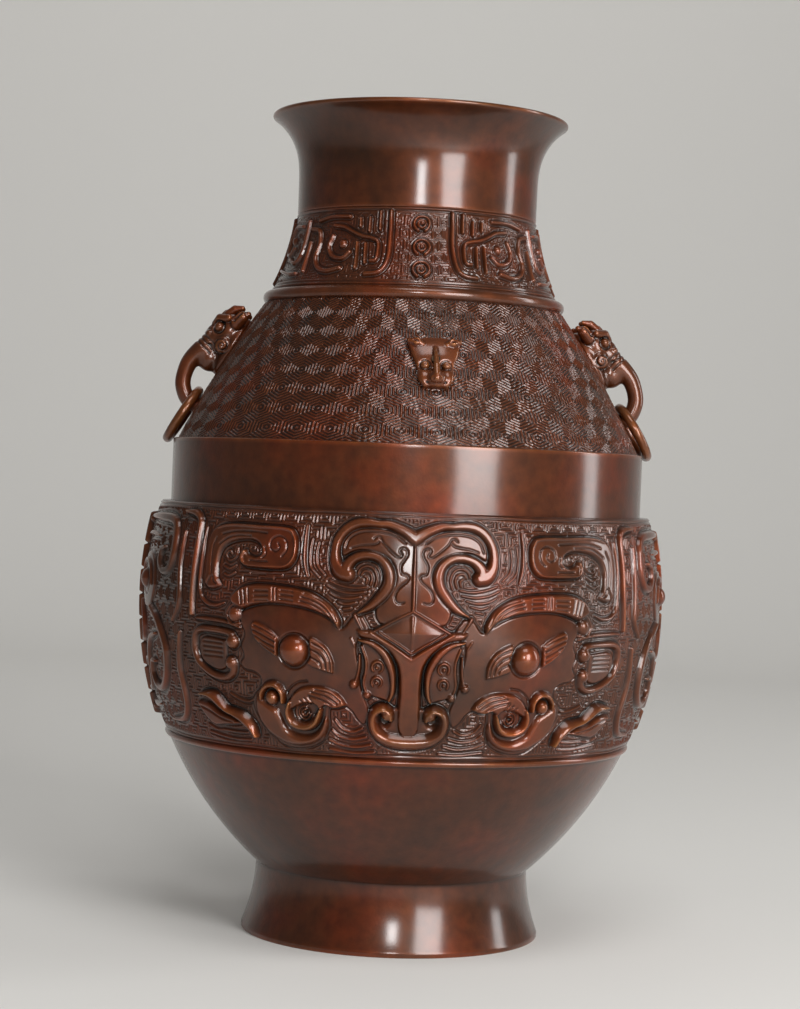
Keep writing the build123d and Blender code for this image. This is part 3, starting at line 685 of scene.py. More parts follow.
def draw_face(board):
    """Smooth face with eyes and brows."""
    # Skin of the face, fuller round the eye and on the cheek
    board.plate([
        (17, 121.2), (20.5, 121), (24, 117), (27.5, 119), (34, 122), (44, 123.6), (52, 123.6),
        (58, 122.2), (61.8, 120.4), (62.6, 117), (60.8, 113), (62.4, 109), (61.3, 105.4), (63, 102.6),
        (61, 100.6), (57, 100), (54.4, 98), (55, 95), (58, 92), (58.4, 88), (56, 83), (51, 78.4),
        (46, 75.8), (40, 75.4), (34, 76.8), (30.3, 79.6), (28.8, 85), (28, 90), (24, 91), (20.5, 89.5),
        (18, 86), (15.5, 85), (14, 90), (16.5, 97), (17.8, 104), (18.6, 112), (14.6, 116.4)
    ], 0.8, 0.7)
    board.swell(41, 107.5, 15, 10, 0.6)
    board.swell(46, 86, 9, 8, 0.4)
    # Eyeball in its socket
    board.cut(arc_points((40.8, 108.4), 5.8, 0, 360, 33), 1.5, 0.55, smooth=False)
    board.dome(40.8, 108.4, 5.3, 4.8)
    # Inner lid, then the outer one, with their folds
    board.plate([
        (26, 101.4), (26.1, 105.5), (28, 109.6), (31.4, 112.4), (35.2, 113.6), (35.3, 110), (34.8, 106.8),
        (35.8, 104.5), (31, 102.6)
    ], 2.5, 0.9)
    board.cuts([
        [(27.3, 102.8), (27.7, 106.3), (30, 109.7), (34.3, 111.6)],
        [(28.8, 103.2), (29.4, 106), (31.6, 108.3), (34.8, 109.6)],
        [(30.4, 103.6), (31.2, 105.5), (34.6, 107.2)],
    ], 0.9, 0.9)
    board.plate([
        (46.4, 113), (49.6, 115.2), (55.6, 117.6), (57.4, 115.8), (56.2, 112), (53.2, 109.2), (49.6, 107),
        (46.6, 106)
    ], 2.5, 0.9)
    board.cuts([
        [(47.4, 112.7), (51.4, 114.6), (56, 116.2)],
        [(47.6, 111), (52, 112.9), (56.4, 114.6)],
        [(47.8, 109.3), (51.6, 110.8), (55.6, 112.8)],
        [(47.8, 107.7), (50.4, 108.8), (53.4, 110.6)],
    ], 0.85, 0.9)
    # Brow with combed hair, and the curl and ball at its end
    board.plate([
        (25, 115.6), (24.4, 119), (26, 122.2), (28.4, 124.8), (31.4, 126.8), (35, 128.4), (40, 129.4),
        (46, 130), (52, 130.3), (58, 130.1), (63, 128.8), (66.4, 126.2), (67, 123.8), (65.6, 122.4),
        (61.8, 121.2), (58.5, 122.2), (54.6, 123.2), (50, 123.6), (44, 123.4), (38, 122.8), (34, 121.9),
        (30, 120.4), (27.4, 118.4)
    ], 2.5, 1.3)
    board.cuts([
        [(25.7, 119), (28.2, 123.4), (32.2, 126.2), (37.5, 127.9)],
        [(26.7, 119), (29.6, 122.9), (33.6, 125.3), (38.2, 126.6)],
        [(28, 119.7), (31.2, 122.6), (35, 124.4), (38.6, 125.2)],
        [(41.4, 125), (46, 125.4)],
        [(41.4, 126.6), (46, 126.9)],
        [(41.4, 128.1), (46, 128.5)],
        [(47.6, 125), (47.8, 129.2)],
        [(48.9, 125), (49.1, 129.3)],
        [(51, 124.9), (56.2, 124.6)],
        [(51, 126.4), (56.4, 126.2)],
        [(51, 127.9), (56.4, 127.8)],
        [(58.4, 123.6), (59.4, 128.8)],
        [(60, 123.2), (61.2, 128.3)],
        [(61.6, 123), (62.8, 127.4)],
    ], 0.85, 0.75)
    board.ribbon([(62.4, 121.6), (66, 122.6), (68.4, 119.4), (66.4, 116), (62.8, 116.2)], 1.5, 1.4)
    board.dome(64.7, 119.3, 2.9, 2.9)


def draw_muzzle(board):
    """Nose, snout and cheek leaves of the mask."""
    # Snout with its nostril
    board.plate([
        (-5, 77.6), (-5, 91), (5, 91.4), (12, 90.4), (13.9, 87), (13.4, 83), (10, 79.4), (5, 77.6)
    ], 1.5, 0.8)
    board.pit(8.2, 86.8, 3.2, 2.2)
    # Nose, which branches under the lozenge
    board.plate([
        (-7.5, 111.5), (-4.4, 104), (-4.0, 97), (-4.1, 84), (0, 80.2), (4.1, 84), (4.0, 97), (4.4, 103.4),
        (5.8, 106.8), (8.6, 110.1), (12.6, 112.8), (17.8, 114.2), (19, 117.2), (13, 117), (6.4, 113),
        (0, 109.4)
    ], 2.4, 1.7)
    # Lip that curls up round the nostril
    board.ribbon([
        (6.0, 88.0), (6.5, 89.9), (8.9, 91), (11.5, 89.8), (12.5, 86.6), (11.3, 83.2), (8, 80.9), (4, 80),
        (0, 79.8), (-4, 80)
    ], [3.0, 3.8, 4.0, 4.2, 4.7, 5.5, 6.4, 7.0, 7.2, 7.0], 4.3, 0.0)
    board.dome(7.3, 89.4, 2.5, 4.5)
    # Cheek leaf with rolled edges and two small coils
    board.plate([
        (18, 113.8), (13.5, 113), (9.8, 110.7), (7.3, 107.5), (5.6, 103.5), (5, 99.5), (5.3, 96),
        (6.5, 93.3), (10, 94), (13, 95), (15.5, 97.5), (15.7, 101), (15.3, 106), (16.2, 110.5)
    ], 1.1, 0.5)
    board.ribbon([
        (18, 113.6), (13.7, 112.6), (10.2, 110.1), (7.9, 107), (6.3, 103.3), (5.8, 99.5), (6.1, 96),
        (7, 93.8)
    ], [0.9, 2.4, 3.2, 3.4, 3.0, 2.3, 2.0, 1.3], 2.7)
    board.ribbon([
        (16.8, 111.4), (15.4, 107), (15.3, 103), (15.8, 99.5), (15, 96.7), (13.8, 95.2)
    ], 1.3, 1.8)
    board.dome(14.4, 95.3, 1.6, 2.3)
    for z, size in ((104.6, 1.9), (99.6, 1.7)):
        widths = [1.3] * 8 + [1.1, 1.0, 0.9, 0.8, 0.7, 0.6, 0.5]
        board.ribbon(arc_points((11.3, z), size, -40, 250, 15), widths, 2.1, smooth=False)
        board.dome(11.5, z - 0.2, 0.8, 2.1)
    # Stalk with a ball beside the leaf
    board.ribbon([(17.6, 108.5), (17.7, 104), (18.3, 100.5), (19.2, 98.6)], [0.8, 1.2, 1.4, 1.8], 1.6)
    board.dome(19.2, 98.4, 1.7, 2.4)


def draw_jaw(board):
    """Scroll of the jaw, tails and ear of the mask."""
    # Crest over the jaw's scroll, with its cut lines and the fold beside it
    board.plate([
        (21.3, 91.2), (23.2, 94), (26.2, 96), (30, 97.2), (34.5, 97.4), (38.4, 96.6), (41.6, 94.2),
        (43.4, 91), (42.5, 88.5), (38.5, 90.5), (36, 91), (33, 90.5), (31.5, 89), (29.5, 90.5), (26, 89.8)
    ], 2.7, 1.0)
    board.cuts([
        [(23.8, 92.7), (28, 95.2), (33, 96.2)],
        [(25, 91.7), (29, 94), (34.5, 95.3)],
        [(27, 91), (30.5, 92.8), (35.5, 94.1)],
        [(33.5, 91.2), (35.5, 93.6)],
        [(35.3, 91), (37, 93.2)],
        [(37, 90.8), (38.6, 92.4)],
    ], 0.85, 0.9)
    board.cut([(36, 98.6), (39.6, 98), (43.2, 95.4), (45, 91.4)], 1.2, 0.6)
    # Coil in the middle of the scroll
    board.pit(37.2, 87.6, 3.6, 1.2)
    for size in (3.3, 2.2, 1.1):
        board.ribbon(arc_points((37.3, 87.8), size, -170, 110, 15), 0.75, 1.7, smooth=False)
    # Crescent of the jaw and the roll inside it
    board.plate([
        (29.2, 89), (28.4, 85), (29.4, 81.4), (31.6, 78.7), (35, 76.9), (39.4, 76), (44.4, 76.2),
        (49.4, 77.8), (53.8, 80.8), (56.6, 84.8), (57.6, 89), (56.8, 92.6), (54.4, 93.6), (51, 91.6),
        (47.4, 89.4), (45.4, 86.4), (43.6, 83), (40, 81.3), (36, 81.3), (32.8, 83), (30.8, 86)
    ], 3.0, 2.9)
    board.ribbon([
        (42.4, 91.2), (43.3, 88), (42.2, 85), (39.3, 83.6), (35.8, 83.7), (33.2, 85.2), (31.8, 87.4),
        (31, 89.4)
    ], [2.4, 3.6, 4.0, 4.0, 3.9, 3.5, 2.9, 1.8], 4.2, 0.0)
    # Hook round a ball at the corner of the mouth
    board.ribbon([
        (45.2, 91.2), (45.4, 94.6), (47.8, 96.7), (51, 96.2), (53.2, 94), (53.6, 91.6)
    ], [2.2, 3.1, 3.3, 3.1, 2.4, 1.2], 3.5, 0.05)
    board.dome(49.3, 92.4, 2.7, 4.2)
    # Two tails behind the jaw
    board.plate([
        (65.6, 81.8), (69.6, 83.8), (75.6, 85.4), (81, 88), (87.4, 88), (84.6, 84), (79.4, 80.4),
        (73, 80.8)
    ], 1.7, 1.1)
    board.cut([(69, 82.4), (75, 83.4), (80.6, 85.4), (85.4, 86.6)], 0.9, 0.7)
    board.ribbon([
        (58.2, 78.6), (60.2, 81.8), (63.4, 84.4), (66.8, 85.7), (70.4, 86.7), (73.6, 88.6), (76.4, 90.4),
        (79.8, 91.2), (84.4, 91)
    ], [1.6, 4.4, 4.8, 3.4, 2.9, 4.2, 4.4, 2.8, 0.8], 3.4, 0.0)
    # Lines of the ground by the tails, then under the snout
    board.ribbons([
        [(63.4, 79), (68.4, 78.8), (74, 78.9), (79, 78.6), (84, 80)],
        [(62.4, 76.4), (69, 76.2), (76, 76.6), (84, 77.4)],
        [(56.6, 92), (60, 90), (64.6, 90.4), (69, 92)],
    ], 1.0, 0.85)
    board.ribbons([
        [(16.5, 83.5), (20, 82.2), (24, 83.2), (26.4, 86)],
        [(15, 80.6), (20, 79.6), (25, 80.4), (27.6, 82.4)],
        [(13.4, 78), (19, 77), (25, 77.6), (29, 79)],
        [(12, 75.4), (20, 74.9), (29, 75.8)],
    ], 1.1, 0.95)
    # Ear with its hair, its rolled rim, a ball at each end and a bar over it
    board.plate([
        (69, 110), (80, 110.4), (83, 107), (81, 102), (74.4, 99.4), (69.6, 100.4), (69.2, 104)
    ], 0.9, 0.6)
    for z in (108.8, 107.2, 105.6, 104):
        board.cut([(71, z), (80.4, z + 0.2)], 0.8, 0.55)
    board.ribbon([
        (65.4, 110.4), (66.5, 112.2), (70, 113), (76, 113.2), (82, 112.8), (85, 110.8), (85.4, 106.5),
        (83.6, 102), (79.5, 99.2), (74.5, 97.5), (69.8, 97.3), (66.6, 99), (65.8, 101.6)
    ], [3.4, 3.0, 2.7, 2.7, 2.9, 3.1, 3.1, 2.9, 2.7, 2.7, 2.9, 3.2, 3.4], 1.9, 0.2)
    board.dome(65.9, 109.8, 2.7, 2.9)
    board.dome(66.8, 102.3, 2.5, 2.7)
    board.ribbon([(62.8, 114.8), (70, 116.4), (79, 116.6), (85, 116.4)], [0.9, 1.6, 1.7, 1.0], 1.3)


def draw_corner(board):
    """Squared body that coils in the mask's upper corner, and the bar beside it."""
    # Body coiled into a square, with a raised rim and a turned-in end
    board.plate([
        (41, 143.6), (42, 147.2), (45.6, 149.4), (58, 149.8), (70, 149.7), (77, 148.6), (80.4, 145.2),
        (81, 139), (80.6, 133.4), (80.4, 129.4), (78.2, 127.2), (75, 127.2), (72.2, 128.6), (74, 131.4),
        (74.6, 136.4), (73.4, 140.6), (70, 142.9), (65, 144.2), (60, 144.4), (56.4, 143), (55.4, 140.4),
        (57.4, 139), (60.2, 139.6), (62.2, 141.2), (64.2, 139.4), (63.4, 136.6), (60, 135.2), (50, 135),
        (44.2, 135.8), (41.6, 138.8)
    ], 1.6, 1.1)
    board.ribbon([
        (62.8, 137.2), (60, 136), (50, 135.9), (45, 136.6), (42.4, 139.4), (41.9, 143.4), (42.9, 146.6),
        (46, 148.5), (58, 148.9), (70, 148.8), (76.2, 147.6)
    ], [2.0, 1.6, 1.5, 1.5, 1.6, 1.7, 1.6, 1.6, 1.5, 1.4, 0.8], 2.2, 0.1)
    board.ribbon([(62.2, 140.4), (63, 138.6), (62.4, 137)], [2.0, 3.0, 2.2], 2.4, 0.0)
    # Scrolls and lines cut into the body
    board.cuts([
        [(47, 139.4), (45.2, 141.6), (45.6, 144.6), (48.4, 146), (51.2, 144.8), (51.6, 142.2),
         (49.8, 140.9), (48, 142), (48.6, 143.6)],
        [(53.6, 146.8), (60, 147.2), (68, 146.8), (73.6, 145.6)],
        [(60.4, 145.7), (66, 145.6), (70.6, 144.6), (74.6, 142.4)],
        [(52.6, 137.4), (56, 137.3), (59.6, 137.5)],
        [(53.8, 142.4), (53.2, 140), (54.6, 138.6)],
        [(76.4, 144.4), (77.8, 141), (77.6, 136), (77, 132.4)],
        [(76.2, 131.6), (75.6, 129.8), (74, 128.9)],
        [(77.2, 131.4), (78.4, 129.6), (78.8, 128.4)],
    ], 0.9, 0.75)
    # Coil and lines on the ground inside it
    board.ribbons([
        [(66, 141.6), (66.4, 138.6), (69.4, 137.4), (71.4, 139.2), (69.8, 140.6), (68.6, 139.6)],
        [(66, 135.8), (69, 134.6), (71.8, 135.4)],
        [(66.4, 133.4), (69.4, 132.2), (71.6, 132.8)],
    ], 0.9, 0.9)
    # Thin bars round the body, then the bar between mask and side dragon
    board.ribbon([
        (70.4, 122.8), (75, 121.6), (80, 122.6), (83.2, 127), (83.8, 140), (83.4, 148)
    ], [0.8, 1.5, 1.6, 1.6, 1.4, 0.8], 1.2)
    board.ribbon([(38.6, 150.4), (38.8, 144), (38.4, 138), (37, 133.4)], [0.9, 1.4, 1.4, 0.8], 1.2)
    board.ribbon([
        (86.9, 117.6), (87, 134), (87, 147.4), (88.2, 150.8), (92, 152.4), (98, 152.6)
    ], [1.6, 2.5, 2.6, 2.7, 2.8, 1.2], 2.0, 0.3)


def draw_side(board):
    """Dragon between the mask and the flange at the vessel's side."""
    # Crest that ends in a coil
    board.ribbon([
        (143.5, 150), (122, 150.2), (108.5, 149.6), (103.8, 146.4), (103, 139), (105, 133),
        (110.6, 131.6), (114.6, 134.4), (114.2, 138.8), (110.8, 140.2)
    ], [2.2, 3.6, 3.8, 4, 4, 3.8, 3.6, 3.2, 2.8, 1.8], 1.8, 0.35)
    # Head with its brow, lid and eye
    board.plate([
        (118, 126), (121, 134), (128, 137.6), (137, 137), (142, 132), (142.6, 124), (138, 119),
        (130, 117.4), (122, 119.4)
    ], 1.1, 0.8)
    board.ribbon([
        (121.6, 126), (124, 132), (130, 134.8), (137, 133.4), (140, 128.4)
    ], [0.9, 2, 2.2, 2, 0.9], 2.0)
    board.cut([(125, 128), (127, 123.6), (131.4, 122.4), (136, 124.4)], 1.0, 0.6)
    board.dome(131, 128, 3.9, 3.3)
    # Open mouth
    board.ribbon([
        (142, 119.6), (136.4, 114), (136.6, 107.4), (142.6, 104.8)
    ], [2, 3.3, 3.3, 1.8], 2.0, 0.2)
    # Body that coils under the head, and the leg
    board.ribbon([
        (122, 118), (113.4, 113.2), (107.4, 105), (108.2, 96), (114, 90.4), (121.6, 90.2), (125.6, 94.2),
        (123.8, 98.8), (119.4, 98.8)
    ], [3, 4, 4.2, 4, 3.6, 3.2, 2.9, 2.5, 1.5], 2.0, 0.25)
    board.ribbon([
        (117, 109), (124.4, 107), (129.2, 100.6), (130.4, 92.4), (136, 88), (144, 88.2)
    ], [1.6, 3.2, 3.4, 3.2, 2.8, 1.4], 1.8, 0.25)
    # Claw, tails and small bars of the ground
    board.ribbon([(144, 83.2), (134, 82.2), (125, 83)], [1.0, 2.3, 1.0], 1.5)
    board.ribbon([
        (95, 111), (96.8, 99), (95.4, 87), (100, 80.6), (111, 79.4)
    ], [1.4, 3, 3, 2.8, 1.0], 1.7, 0.25)
    board.ribbon([(96.6, 146), (96.8, 134), (96, 121), (100.4, 114.6)], [1, 2.4, 2.4, 1], 1.5)
    board.ribbon([(120, 143.6), (132, 144), (144, 143.4)], [0.9, 2.4, 1.6], 1.5)
    board.ribbon([(135.4, 99.4), (141, 98.4), (145, 95.4)], [0.9, 2.2, 1.0], 1.5)
    # Notched flange with a block at each end
    board.ribbon([(150.8, 149.5), (150.8, 79.5)], 4.8, 3.0, 0.35, smooth=False)
    for z in np.arange(86, 148, 8.9):
        board.cut([(146, z), (156, z)], 1.6, 1.3, smooth=False)
    for z in (148.8, 80.6):
        board.ribbon([(148.4, z), (153.2, z)], 3.4, 2.4, smooth=False)


def mask_board(ornament):
    """Relief of the belly band: half a taotie mask and the dragon beside it."""
    board = ReliefBoard(*MASK_FIELD)
    for draw in (draw_forehead, draw_face, draw_muzzle, draw_jaw, draw_corner, draw_side):
        draw(board)
    board.height *= ornament.relief
    for z in (155.4, 73.7):
        board.ribbon([(-6, z), (157, z)], 0.8, 0.5, smooth=False)
    board.fret((6.6, 6.0), ornament.fret_pitch / MM, ornament.fret_height / MM)
    board.settle()
    return board


def dragon_board():
    """Relief of the neck band: three coiled roundels and a dragon to each side."""
    board = ReliefBoard(*NECK_FIELD)
    # Coiled roundels
    for z in (257.2, 248.7, 240.6):
        turn = np.linspace(0, 1.9, 40)
        coil = 3.0 - 1.35 * turn
        angles = 2 * math.pi * (turn - 0.18)
        spiral = np.stack((coil * np.cos(angles), z + coil * np.sin(angles)), axis=1)
        board.ribbon(spiral, 1.35 - 0.2 * turn, 1.5, smooth=False)
        board.dome(0, z, 0.9, 1.5)
    # Dragon in squared bars, given by their points and widths, with two eyes
    bars = [
        ([(11.6, 261.2), (11.2, 252), (11.5, 245), (12.6, 240.8), (14.8, 238.9), (18.8, 238.4)], 1.7),
        ([(17.6, 243.2), (15.7, 243.6), (15.3, 247), (15.8, 250.3), (18.5, 251.6), (22, 252.2),
          (26, 253.8), (30, 255.6), (34.5, 256.2)], 1.4),
        ([(15.6, 261), (15.2, 254.6)], 1.3),
        ([(19.6, 258.8), (19.3, 254)], 1.3),
        ([(20.2, 249.4), (19.6, 242.4)], 1.3),
        ([(23.4, 258.6), (23.2, 255.8)], 1.3),
        ([(23.4, 249.8), (22.8, 240.6)], 1.3),
        ([(26, 246.4), (28.6, 244.2), (33, 245), (35.6, 248.4), (34.6, 252.4)], 1.6),
        ([(28, 259.4), (36, 259.6), (43, 258.4)], 1.5),
        ([(28.6, 240.6), (34, 239.6), (38.6, 241.2), (41, 245), (40.6, 250), (42.6, 254.6),
          (47.4, 255.6)], 1.7),
        ([(46.2, 250.4), (45.6, 240)], 1.5),
        ([(50.2, 258.6), (50.6, 246.4), (53.8, 243.4), (58.6, 244.8)], 1.6),
        ([(55, 257), (62, 257.2), (65.6, 253.4), (65, 247.8), (61.4, 246.6), (58.4, 249)], 1.6),
        ([(66.4, 241.2), (56, 239.4), (49.6, 239.2)], 1.5),
        ([(69.4, 259), (69.8, 240)], 1.5),
    ]
    for line, width in bars:
        board.ribbon(line, width * 1.15, 1.4, 0.3, smooth=len(line) > 2)
    for s, z in ((29.6, 249.4), (60.6, 252)):
        board.dome(s, z, 1.7, 1.6)
    # Upright between two dragons, and the band's edges
    board.ribbon([(73.8, 261), (73.8, 237)], 2.2, 1.5, 0.3, smooth=False)
    for z in (262.5, 235.2):
        board.ribbon([(-6, z), (80, z)], 0.9, 0.7, smooth=False)
    board.fret((4.1, 4.3), 0.92, 0.42)
    board.settle()
    return board


def hexagons(angle, height, low, rise, count, rows):
    """Nested hexagon lines of the shoulder, from 0 on the ground to 1 on the crest of a line."""
    around = angle / (2 * math.pi) * count + 0.5
    up = (height - low) / rise * rows
    slant = 0.866
    best = None
    for row in (np.floor(up), np.floor(up) + 1):
        shift = np.where(row % 2 == 0, 0.0, 0.5)
        dx = np.mod(around - shift + 0.5, 1.0) - 0.5
        dy = (up - row) * slant
        gap = np.maximum(np.abs(dx), 0.5 * np.abs(dx) + slant * np.abs(dy))
        best = gap if best is None else np.minimum(best, gap)
    lines = np.zeros_like(best)
    # Places of the lines between a cell's centre and its edge, and their half widths, as shares of a cell
    for place, half in ((0.5, 0.040), (0.385, 0.037), (0.27, 0.037), (0.155, 0.037), (0.0, 0.06)):
        share = np.clip(1 - np.abs(best - place) / half, 0, 1)
        lines = np.maximum(lines, np.sin(share * math.pi / 2) ** 1.5)
    return lines


# Sculpted fittings: signed distances in millimetres in the seat's frame

# Depth to which the backs of fittings and bands are let into the wall
LET_IN = 1.7


def merged(one, two, soft):
    """Union of two forms with a soft fillet."""
    share = np.clip(0.5 + 0.5 * (two - one) / soft, 0, 1)
    return two * (1 - share) + one * share - soft * share * (1 - share)


def egg(p, centre, radii):
    """Distance to an ellipsoid."""
    q = p - np.array(centre, float)
    radii = np.array(radii, float)
    near = np.linalg.norm(q / radii, axis=-1)
    slope = np.linalg.norm(q / radii ** 2, axis=-1)
    return near * (near - 1) / np.maximum(slope, 1e-6)


def limb(p, points, radii):
    """Distance to a tapering tube along points."""
    points = np.array(points, float)
    result = None
    for a, b, ra, rb in zip(points[:-1], points[1:], radii[:-1], radii[1:]):
        along = b - a
        t = np.clip(((p - a) @ along) / np.dot(along, along), 0, 1)
        gap = np.linalg.norm(p - a - t[..., None] * along, axis=-1) - (ra + t * (rb - ra))
        result = gap if result is None else np.minimum(result, gap)
    return result


def swollen(form, p, eggs):
    """Form with ellipsoids merged on, each given by its centre, radii and fillet."""
    for centre, radii, soft in eggs:
        form = merged(form, egg(p, centre, radii), soft)
    return form


def grooved(form, gap, width, depth):
    """Form with a groove where a gap measure is near zero."""
    return form + depth * np.exp(-(gap / width) ** 2)


def mirrored(p):
    """Points folded over on the right half, so that both halves of a form are alike."""
    return np.stack((np.abs(p[..., 0]), p[..., 1], p[..., 2]), axis=-1)


def handle_form(p):
    """Beast head whose trunk curls down into the loop."""
    p = mirrored(p)
    # Skull, then the root on the wall, the snout, the lower jaw and the cheeks
    form = egg(p, (0, 13.6, 4.2), (6.3, 7.6, 5.8))
    form = swollen(form, p, [
        ((0, 9.5, 0.6), (6.9, 12.0, 3.0), 1.5),
        ((0, 8.8, 7.6), (4.3, 4.6, 4.0), 1.4),
        ((0, 1.6, 5.2), (3.6, 5.0, 5.0), 1.4),
        ((4.4, 8.0, 3.6), (2.9, 3.4, 3.0), 0.8),
    ])
    # Trunk with its folds, each point with the radius there
    trunk = flowing([
        (0, 10.5, 7.0, 4.0), (0, 6.0, 8.2, 3.9), (0, 1.6, 9.8, 3.6), (0, -3.2, 10.8, 3.2),
        (0, -7.6, 10.3, 2.95), (0, -11.8, 8.6, 2.9), (0, -14.87, 5.4, 2.9), (0, -15.9, 2.6, 2.9),
        (0, -15.8, -1.0, 3.0)
    ], 5)
    form = merged(form, limb(p, trunk[:, :3], trunk[:, 3]), 1.6)
    for y in (7.2, 5.4, 3.6):
        ridge = np.where(p[..., 2] > 6.0, p[..., 1] - y - 0.25 * (p[..., 2] - 9), 9.0)
        form = grooved(form, ridge, 0.42, 0.32)
    brow = limb(p, [(0.9, 13.4, 10.2), (3.4, 15.8, 9.7), (6.0, 17.6, 7.0)], (1.5, 1.8, 1.3))
    form = merged(form, brow, 0.7)
    # Nose and nostrils
    form = swollen(form, p, [
        ((0, 10.8, 10.2), (2.5, 1.9, 1.6), 0.6),
        ((2.6, 8.9, 10.2), (1.5, 1.5, 1.4), 0.5),
    ])
    horn = limb(p, [(2.0, 18.6, 8.2), (2.9, 21.6, 7.0), (3.7, 23.4, 4.8)], (1.6, 1.5, 0.9))
    form = merged(form, horn, 0.7)
    crest = limb(p, [(0, 15.5, 10.2), (0, 19, 9.2), (0, 22.4, 6.6)], (0.9, 1.0, 0.7))
    form = merged(form, crest, 0.6)
    ear = limb(p, [(5.6, 17.4, 3.4), (7.3, 20.4, 2.8), (7.7, 22.4, 1.6)], (2.3, 2.2, 1.1))
    hollow = limb(p, [(7.4, 18.4, 5.2), (8.6, 21.0, 4.2)], (1.3, 1.0))
    form = merged(form, np.maximum(ear, -hollow), 0.5)
    eye = np.linalg.norm(p - np.array((4.3, 13.0, 8.3)), axis=-1)
    form = grooved(form, eye - 2.3, 0.5, 0.5)
    form = merged(form, eye - 1.75, 0.2)
    # Coil engraved on the cheek
    curl = np.array((7.6, 3.8))
    cheek = np.linalg.norm(p[..., 1:] - curl, axis=-1)
    turn = np.arctan2(p[..., 2] - curl[1], p[..., 1] - curl[0]) / (2 * math.pi)
    coil = np.mod(cheek / 1.5 - turn, 1.0) - 0.5
    engraved = (p[..., 0] > 4.6) & (cheek < 3.2)
    form = form + np.where(engraved, 0.28 * np.exp(-(coil / 0.2) ** 2), 0.0)
    mouth = limb(p, [(3.4, 5.8, 8.0), (4.6, 5.0, 4.6), (4.8, 5.4, 1.6)], (0.01, 0.01, 0.01))
    form = grooved(form, mouth, 0.55, 0.6)
    return np.maximum(form, -LET_IN - p[..., 2])


def head_form(p):
    """Small beast head: tapering face with leaf ears at its upper corners, nose ridge, eyes and muzzle."""
    p = mirrored(p)
    x, y, z = p[..., 0], p[..., 1], p[..., 2]
    half = np.interp(y, (-9.8, -5.5, 0.5, 5.5, 9.8), (4.0, 5.4, 6.9, 8.4, 9.6))
    edge = np.maximum(np.maximum(x - half, y - 9.7), -9.8 - y)
    form = -merged(-edge, 2.1 - z, 1.0)
    # Forehead, cheeks and muzzle, then the ridge and the tip of the nose
    form = swollen(form, p, [
        ((0, 4.2, 1.1), (7.6, 5.6, 2.2), 1.6),
        ((3.8, -5.8, 1.5), (2.5, 3.2, 1.8), 1.4),
        ((0, -6.9, 2.2), (2.9, 3.2, 2.8), 1.2),
    ])
    ridge = limb(p, [(0, 4.6, 3.1), (0, 1.0, 4.2), (0, -3.0, 4.7), (0, -6.6, 4.6)], (0.45, 0.85, 1.0, 1.15))
    form = merged(form, ridge, 0.8)
    form = merged(form, egg(p, (0, -7.9, 4.2), (2.0, 1.2, 1.1)), 0.7)
    ear = limb(p, [(4.2, 6.6, 2.6), (6.2, 7.4, 2.7), (8.6, 8.2, 2.1)], (0.7, 1.5, 0.7))
    hollow = limb(p, [(5.4, 7.0, 4.4), (7.6, 7.8, 4.0)], (0.7, 0.7))
    form = merged(form, np.maximum(ear, -hollow), 0.7)
    eye = np.linalg.norm(p - np.array((3.7, -1.9, 2.5)), axis=-1)
    form = grooved(form, eye - 1.95, 0.4, 0.28)
    form = merged(form, eye - 1.5, 0.2)
    pupil = np.linalg.norm(p - np.array((3.7, -2.1, 4.1)), axis=-1)
    form = grooved(form, pupil, 0.5, 0.45)
    nostril = np.linalg.norm(p - np.array((1.3, -8.6, 4.9)), axis=-1)
    form = grooved(form, nostril, 0.55, 0.4)
    mouth = limb(p, [(0, -9.9, 3.6), (2.2, -9.5, 3.2), (3.4, -8.4, 2.2)], (0.01, 0.01, 0.01))
    form = grooved(form, mouth, 0.4, 0.3)
    return np.maximum(form, -LET_IN - z)


